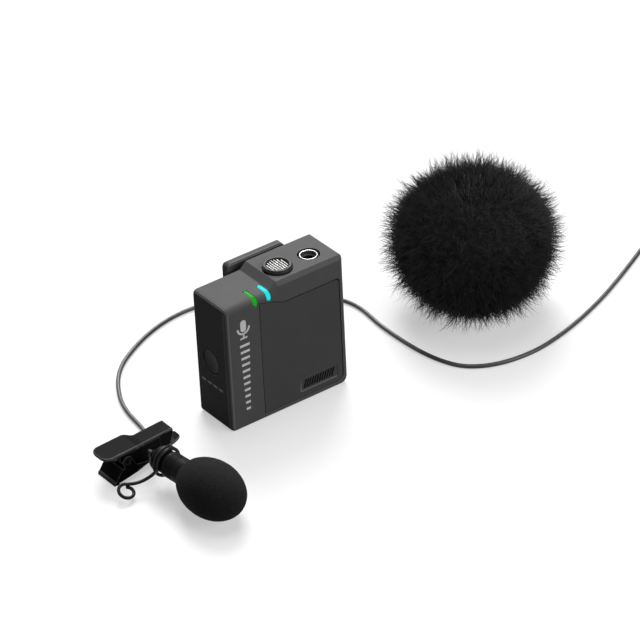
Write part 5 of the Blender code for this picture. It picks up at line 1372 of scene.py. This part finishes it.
turned_piece("lapel_microphone_body", "lavalier_body", MIC_BODY, LAV_PROFILE, 0.08, LAV_PLACE, 80)
turned_piece("lapel_microphone_boot", "lavalier_strain_relief", RUBBER,
             ribbed_boot(BOOT_TOP - BOOT_LENGTH, BOOT_LENGTH, 1.2, 1.8, 3), 0.06, LAV_PLACE, 48)
turned_piece("lapel_microphone_grille", "lavalier_grille", SCREW_BLACK, GRILLE_PROFILE, 0.1,
             LAV_PLACE, 64)
show("grille_holes", mended(grille_holes()), JACK_BLOCK, "lavalier_grille", ())

# %% [markdown]
# The foam windscreen is soft, open-celled foam with a long egg shape. It is turned as a fine grid
# and then every point is moved in or out by a noise at the size of the foam's cells, which breaks
# up the outline as real foam does.

# %% Foam windscreen
FOAM_RADIUS = 8.5
FOAM_LENGTH = 21.3
FOAM_START = 9.8
FOAM_END = FOAM_START + FOAM_LENGTH
FOAM_MOUTH = 5.0
FOAM_WIDEST = FOAM_START + 0.46 * FOAM_LENGTH
FOAM_BORE = LAV_RADIUS + 0.2
FOAM_ROWS = 170
FOAM_INVERSE = LAV_PLACE.inverted()


def foam_profile():
    """Radius and height from the bore's floor, out of the mouth and over the outside."""
    floor = LAV_LENGTH + 2.5
    profile = [(0, floor), (FOAM_BORE * 0.6, floor)]
    profile += [(FOAM_BORE, floor - (floor - FOAM_START - 0.3) * k / 30) for k in range(31)]
    profile += [(FOAM_BORE + 0.10, FOAM_START + 0.08), (FOAM_BORE + 0.4, FOAM_START)]
    lowest = math.asin(FOAM_MOUTH / FOAM_RADIUS)
    behind = (FOAM_WIDEST - FOAM_START) / math.cos(lowest)
    for k in range(FOAM_ROWS):
        angle = lowest + (math.pi - lowest) * k / FOAM_ROWS
        reach = behind if angle < math.pi / 2 else FOAM_END - FOAM_WIDEST
        profile.append((FOAM_RADIUS * math.sin(angle), FOAM_WIDEST - reach * math.cos(angle)))
    return profile + [(0, FOAM_END)]


def roughened(mesh, amount_at):
    """Moves every point along its normal by the amount that is found for it, in mm."""
    normals = [vertex.normal.copy() for vertex in mesh.vertices]
    spots = []
    for vertex, normal in zip(mesh.vertices, normals):
        spots.extend(vertex.co + normal * amount_at(vertex.co) * MM)
    mesh.vertices.foreach_set("co", spots)
    mesh.update()
    return mesh


def foam_amount(spot):
    """Depth of the foam's cut cells at a point; nothing in the bore."""
    local = FOAM_INVERSE @ (spot / MM)
    if local.xy.length < FOAM_BORE + 0.25 and local.z < FOAM_END - 4:
        return 0.0
    cell = noise.voronoi(spot * 1900)[0]
    pore = min(1.0, cell[1] - cell[0])
    fine = noise.noise(spot * 4200)
    broad = noise.noise(spot * 320)
    return (0.10 * broad + 0.22 * fine - 0.62 * max(0.0, pore - 0.25)) * 0.34


foam = show("foam_open_cells", roughened(turned(foam_profile(), LAV_PLACE, 320), foam_amount),
            FOAM, "foam_windscreen", crease=180)

# %% [markdown]
# The fur windscreen is a ball of long black pile on a rubber socket. Each hair is thick at its
# root and ends in a point, and neighbouring hairs cling together in tufts. Geometry Nodes do this
# well: they scatter roots on a ball, ask a cell pattern which tuft each root belongs to, and bend
# every hair towards the middle of its tuft on its way out. No hair goes through the table.

# %% Fur windscreen: tree of the hairs
FUR_CENTRE = Vector((76.1, 0.7, 24.0))
FUR_ROOT = 22.5
FUR_SINK = 2.8
TABLE_SKIN = 0.3
STRAY_SHARE = 0.10


def fur_hairs(name, seed, hairs, tuft_size, tip_low, tip_high, thickness, clinging):
    """Hairs on a ball round the origin, moved to the ball's place at the end."""
    tree = Growth(name)
    root = tree.size("Root radius", FUR_ROOT * MM)
    low = tree.size("Shortest reach", tip_low * MM)
    high = tree.size("Longest reach", tip_high * MM)
    thick = tree.size("Hair radius", thickness * MM)
    cling = tree.size("Cling", clinging)
    ball = tree.node("GeometryNodeMeshIcoSphere", {"Radius": root, "Subdivisions": 5})
    density = hairs / (4 * math.pi * (FUR_ROOT * MM) ** 2)
    roots = tree.node("GeometryNodeDistributePointsOnFaces",
                      {"Mesh": ball, "Density": density, "Seed": seed},
                      distribute_method="RANDOM")
    place = tree.node("GeometryNodeInputPosition")
    tuft = tree.node("ShaderNodeTexVoronoi",
                     {"Vector": place, "Scale": 1.0 / (tuft_size * MM), "Randomness": 1.0},
                     "Position", feature="F1")
    red = tree.node("ShaderNodeSeparateXYZ", {"Vector": tuft.other("Color")})
    own = tree.node("FunctionNodeRandomValue", {"Min": 0.0, "Max": 1.0, "Seed": seed + 5}, 1,
                    data_type="FLOAT")
    reach = low + (high - low) * (red * 0.5 + own * 0.5)
    stray = tree.node("FunctionNodeRandomValue", {"Min": (-1.0, -1.0, -1.0),
                                                  "Max": (1.0, 1.0, 1.0), "Seed": seed + 9},
                      data_type="FLOAT_VECTOR")
    for label, kind, signal in (("root_place", "FLOAT_VECTOR", place),
                                ("tuft_place", "FLOAT_VECTOR", tuft),
                                ("stray", "FLOAT_VECTOR", stray), ("reach", "FLOAT", reach)):
        roots = tree.node("GeometryNodeStoreNamedAttribute",
                          {"Geometry": roots, "Name": label, "Value": signal},
                          data_type=kind, domain="POINT")
    line = tree.node("GeometryNodeCurvePrimitiveLine", {"End": (0.0, 0.0, MM)})
    line = tree.node("GeometryNodeResampleCurve", {"Curve": line, "Count": 5})
    hair = tree.node("GeometryNodeRealizeInstances", {"Geometry": tree.copies(roots, line)})
    along = tree.node("GeometryNodeSplineParameter")

    def stored(label, kind="FLOAT_VECTOR"):
        return tree.node("GeometryNodeInputNamedAttribute", {"Name": label}, data_type=kind)

    def vectors(operation, first, second):
        sockets = {0: first, ("Scale" if operation == "SCALE" else 1): second}
        return tree.node("ShaderNodeVectorMath", sockets, operation=operation)

    def unit(vector):
        return tree.node("ShaderNodeVectorMath", {0: vector}, operation="NORMALIZE")

    outward = unit(stored("root_place"))
    lean = vectors("SUBTRACT", unit(stored("tuft_place")), outward)
    bent = vectors("ADD", outward, vectors("SCALE", lean, along * cling))
    bent = vectors("ADD", bent, vectors("SCALE", stored("stray"), along * along * STRAY_SHARE))
    distance = root + (stored("reach", "FLOAT") - root) * along
    x = tree.node("ShaderNodeSeparateXYZ", {"Vector": vectors("SCALE", unit(bent), distance)})
    above = x.maths("MAXIMUM", x.other("Z"), (TABLE_SKIN - FUR_CENTRE.z) * MM)
    hair = tree.node("GeometryNodeSetPosition",
                     {"Geometry": hair, "Position": tree.vector(x, x.other("Y"), above)})
    slim = thick * (1.02 - along)
    hair = tree.node("GeometryNodeSetCurveRadius", {"Curve": hair, "Radius": slim})
    circle = tree.node("GeometryNodeCurvePrimitiveCircle", {"Resolution": 3, "Radius": 1.0})
    tubes = tree.node("GeometryNodeCurveToMesh", {"Curve": hair, "Profile Curve": circle,
                                                  "Fill Caps": True, "Scale": slim})
    return tree.grown(tree.moved(tubes, FUR_CENTRE), FUR)


print("fur tree ready")

# %% [markdown]
# Three layers of hairs are grown: a dense short one that closes the ball, a middle one, and a
# sparse one with long pointed tufts. Under them lies the knitted backing, turned about the axis of
# the opening behind, with a surface that is pushed in and out a little and flattened on the table.
# The top of the ball sinks a little under its own weight.

# %% Fur windscreen: backing and hairs
BACKING_BORE = 6.4
BACKING_DEPTH = 8.4


def sunk(mesh):
    for vertex in mesh.vertices:
        share = eased((vertex.co.z / MM - FUR_CENTRE.z) / FUR_ROOT)
        vertex.co.z -= FUR_SINK * MM * share
    return mesh


def backing():
    mouth = math.asin(BACKING_BORE / FUR_ROOT)
    low = FUR_ROOT * math.cos(mouth) - BACKING_DEPTH
    profile = [(0, low), (BACKING_BORE, low)]
    profile += [(BACKING_BORE, low + (BACKING_DEPTH - 0.4) * k / 8) for k in range(1, 9)]
    for k in range(1, 60):
        angle = mouth + 0.03 + (math.pi - mouth - 0.03) * k / 60
        profile.append((FUR_ROOT * math.sin(angle), FUR_ROOT * math.cos(angle)))
    mesh = turned(profile + [(0, -FUR_ROOT)], placed(FUR_CENTRE, -90, "X"), 120)
    roughened(mesh, lambda spot: 0.25 * noise.noise(spot * 600))
    for vertex in mesh.vertices:
        vertex.co.z = max(vertex.co.z, TABLE_SKIN * MM)
    return sunk(mesh)


show("fur_backing", backing(), FUR_BACKING, "fur_windscreen", (), crease=180)
for row, stands_for in ((("fur_short", 11, 7500, 2.0, 23.6, 25.9, 0.100, 0.50), None),
                        (("fur_middle", 23, 7500, 2.7, 24.2, 27.8, 0.090, 0.70), ()),
                        (("fur_long", 37, 5600, 3.3, 25.6, 32.0, 0.115, 0.86), ())):
    show(row[0], mended(sunk(fur_hairs(*row))), FUR, "fur_windscreen", stands_for, crease=180)

# %% [markdown]
# A rubber socket holds the fur on the microphone's bezel. It sits in the backing's opening, which
# faces away from the camera, so it is seen in back views only. It is turned, with a soft lip and
# grip ribs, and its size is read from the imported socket's box.


# %% Fur windscreen: socket
def add_socket():
    low, high = (Vector(corner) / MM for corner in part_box("windscreen_socket"))
    depth = high.y - low.y
    radius = (high.z - low.z) / 2
    floor = 0.8
    bore = 4.6
    profile = [(0, 0), (radius, 0), (radius, depth - 0.5), (radius - 0.5, depth),
               (bore + 0.3, depth), (bore, depth - 0.3),
               *grooves(bore, -0.25, depth - 1.6, -1.1, 4, -0.15, -0.6),
               (bore, floor), (0, floor)]
    place = placed(((low.x + high.x) / 2, low.y, (low.z + high.z) / 2), -90, "X")
    return turned_piece("fur_socket", "windscreen_socket", RUBBER, profile, 0.12, place, 72)


add_socket()

# %% [markdown]
# The pieces inside the case keep their solids: nobody sees more of them than a glimpse. Still,
# each gets its own finish through its material slots, so that it looks right when it is taken out.

# %% Finishes of the solids that stay
KEPT_FINISHES = {
    "charging_contacts": GOLD, "circuit_board": BOARD, "radio_shield": SHIELD, "battery": FOIL,
    "mute_switch": SHIELD, "power_switch": SHIELD, "onboard_capsule": JACK_BLOCK,
    "electret_capsule": SHIELD, "jack_body": JACK_BLOCK,
}
for node, finish in KEPT_FINISHES.items():
    for slot in CAD_NODES[node].material_slots:
        slot.material = finish
print("kept solids", len(KEPT_FINISHES))

# %% [markdown]
# The set stands on a white table that runs out of the picture without an edge. Black plastic shows
# its form only if white light doesn't come back at it from everywhere below, so the table throws
# little light on the set, while the camera and all reflections see it as white paper. Light Path
# tells these rays apart, and a share of plain white keeps the shadows on the table light. Far
# from the set the share grows to all, so that the table stays white where the lamps don't reach.

# %% Floor
FLOOR_HALF = 3.0
WHITE_SHARE = 0.48
WHITE_FROM_TO = (0.26, 0.55)
BOUNCE_GREY = 0.07


def seen_directly(nodes):
    """1 for camera, glossy and transmission rays, else 0."""
    rays = nodes.node("ShaderNodeLightPath", output="Is Camera Ray")
    glossy = rays.maths("MAXIMUM", rays, rays.other("Is Glossy Ray"))
    return rays.maths("MAXIMUM", glossy, rays.other("Is Transmission Ray"))


def add_floor():
    bm = bmesh.new()
    bmesh.ops.create_grid(bm, x_segments=2, y_segments=2, size=FLOOR_HALF)
    floor = new_object("table", mesh_of(bm, mend_normals=False))
    made = Finish("table_white", Roughness=0.8, Specular_IOR_Level=0.0)
    seen = seen_directly(made)
    paper = made.colours(made.grain(40, 3), (0.94, 0.94, 0.94), (0.97, 0.97, 0.97))
    shade = made.node("ShaderNodeMix", {0: seen, 6: (*[BOUNCE_GREY] * 3, 1), 7: paper}, 2,
                      data_type="RGBA")
    made.surface(Base_Color=shade)
    white = made.node("ShaderNodeEmission", {"Strength": 1.0})
    reach = made.node("ShaderNodeVectorMath", {0: made.spots()}, 1, operation="LENGTH")
    share = made.steep(reach, *WHITE_FROM_TO) * (1.0 - WHITE_SHARE) + WHITE_SHARE
    mixed = made.node("ShaderNodeMixShader", {0: seen * share, 2: white,
                                              1: Signal(made, made.shader.outputs[0])})
    made.tree.links.new(mixed.socket, made.tree.nodes["Material Output"].inputs["Surface"])
    floor.data.materials.append(made.material)


add_floor()
print("floor ready")

# %% [markdown]
# The photograph is lit from behind and above on the right: the tops are light, the fronts grey and
# the left sides nearly black, and the soft shadows come towards the camera. So a strong disk stands
# where the tops mirror it, a large one hangs overhead, and a weak one lifts the fronts. The world
# is dim for the object and white for the camera and for reflections.

# %% Lights and world
TABLE_CENTRE = Vector((0.02, 0.0, 0.02))
LAMPS = [("key_behind_right", (0.40, 0.60, 0.74), 1.80, 0.50, 34.0),
         ("overhead", (0.20, 0.10, 1.0), 1.60, 0.60, 13.0),
         ("front_fill", (0.38, -0.80, 0.42), 1.80, 0.65, 17.0)]
WORLD_LEVEL = 0.06


def area_lamp(name, towards, distance, radius, watts):
    """Round lamp at a distance from the set, in the given direction, that faces the set."""
    lamp = new_object(name, bpy.data.lights.new(name, "AREA"))
    lamp.data.shape = "DISK"
    lamp.data.size = 2 * radius
    lamp.data.energy = watts
    towards = Vector(towards).normalized()
    lamp.matrix_world = (Matrix.Translation(TABLE_CENTRE + towards * distance)
                         @ (-towards).to_track_quat("-Z", "Y").to_matrix().to_4x4())


def add_world(level):
    world = bpy.data.worlds.new("studio")
    world.use_nodes = True
    sky = world.node_tree.nodes["Background"]
    strength = seen_directly(Nodes(world.node_tree)) * (1.0 - level) + level
    world.node_tree.links.new(strength.socket, sky.inputs["Strength"])
    sky.inputs["Color"].default_value = (1, 1, 1, 1)
    bpy.context.scene.world = world


for row in LAMPS:
    area_lamp(*row)
add_world(WORLD_LEVEL)
bpy.context.scene.view_settings.view_transform = "Standard"
print("lamps", [row[0] for row in LAMPS])
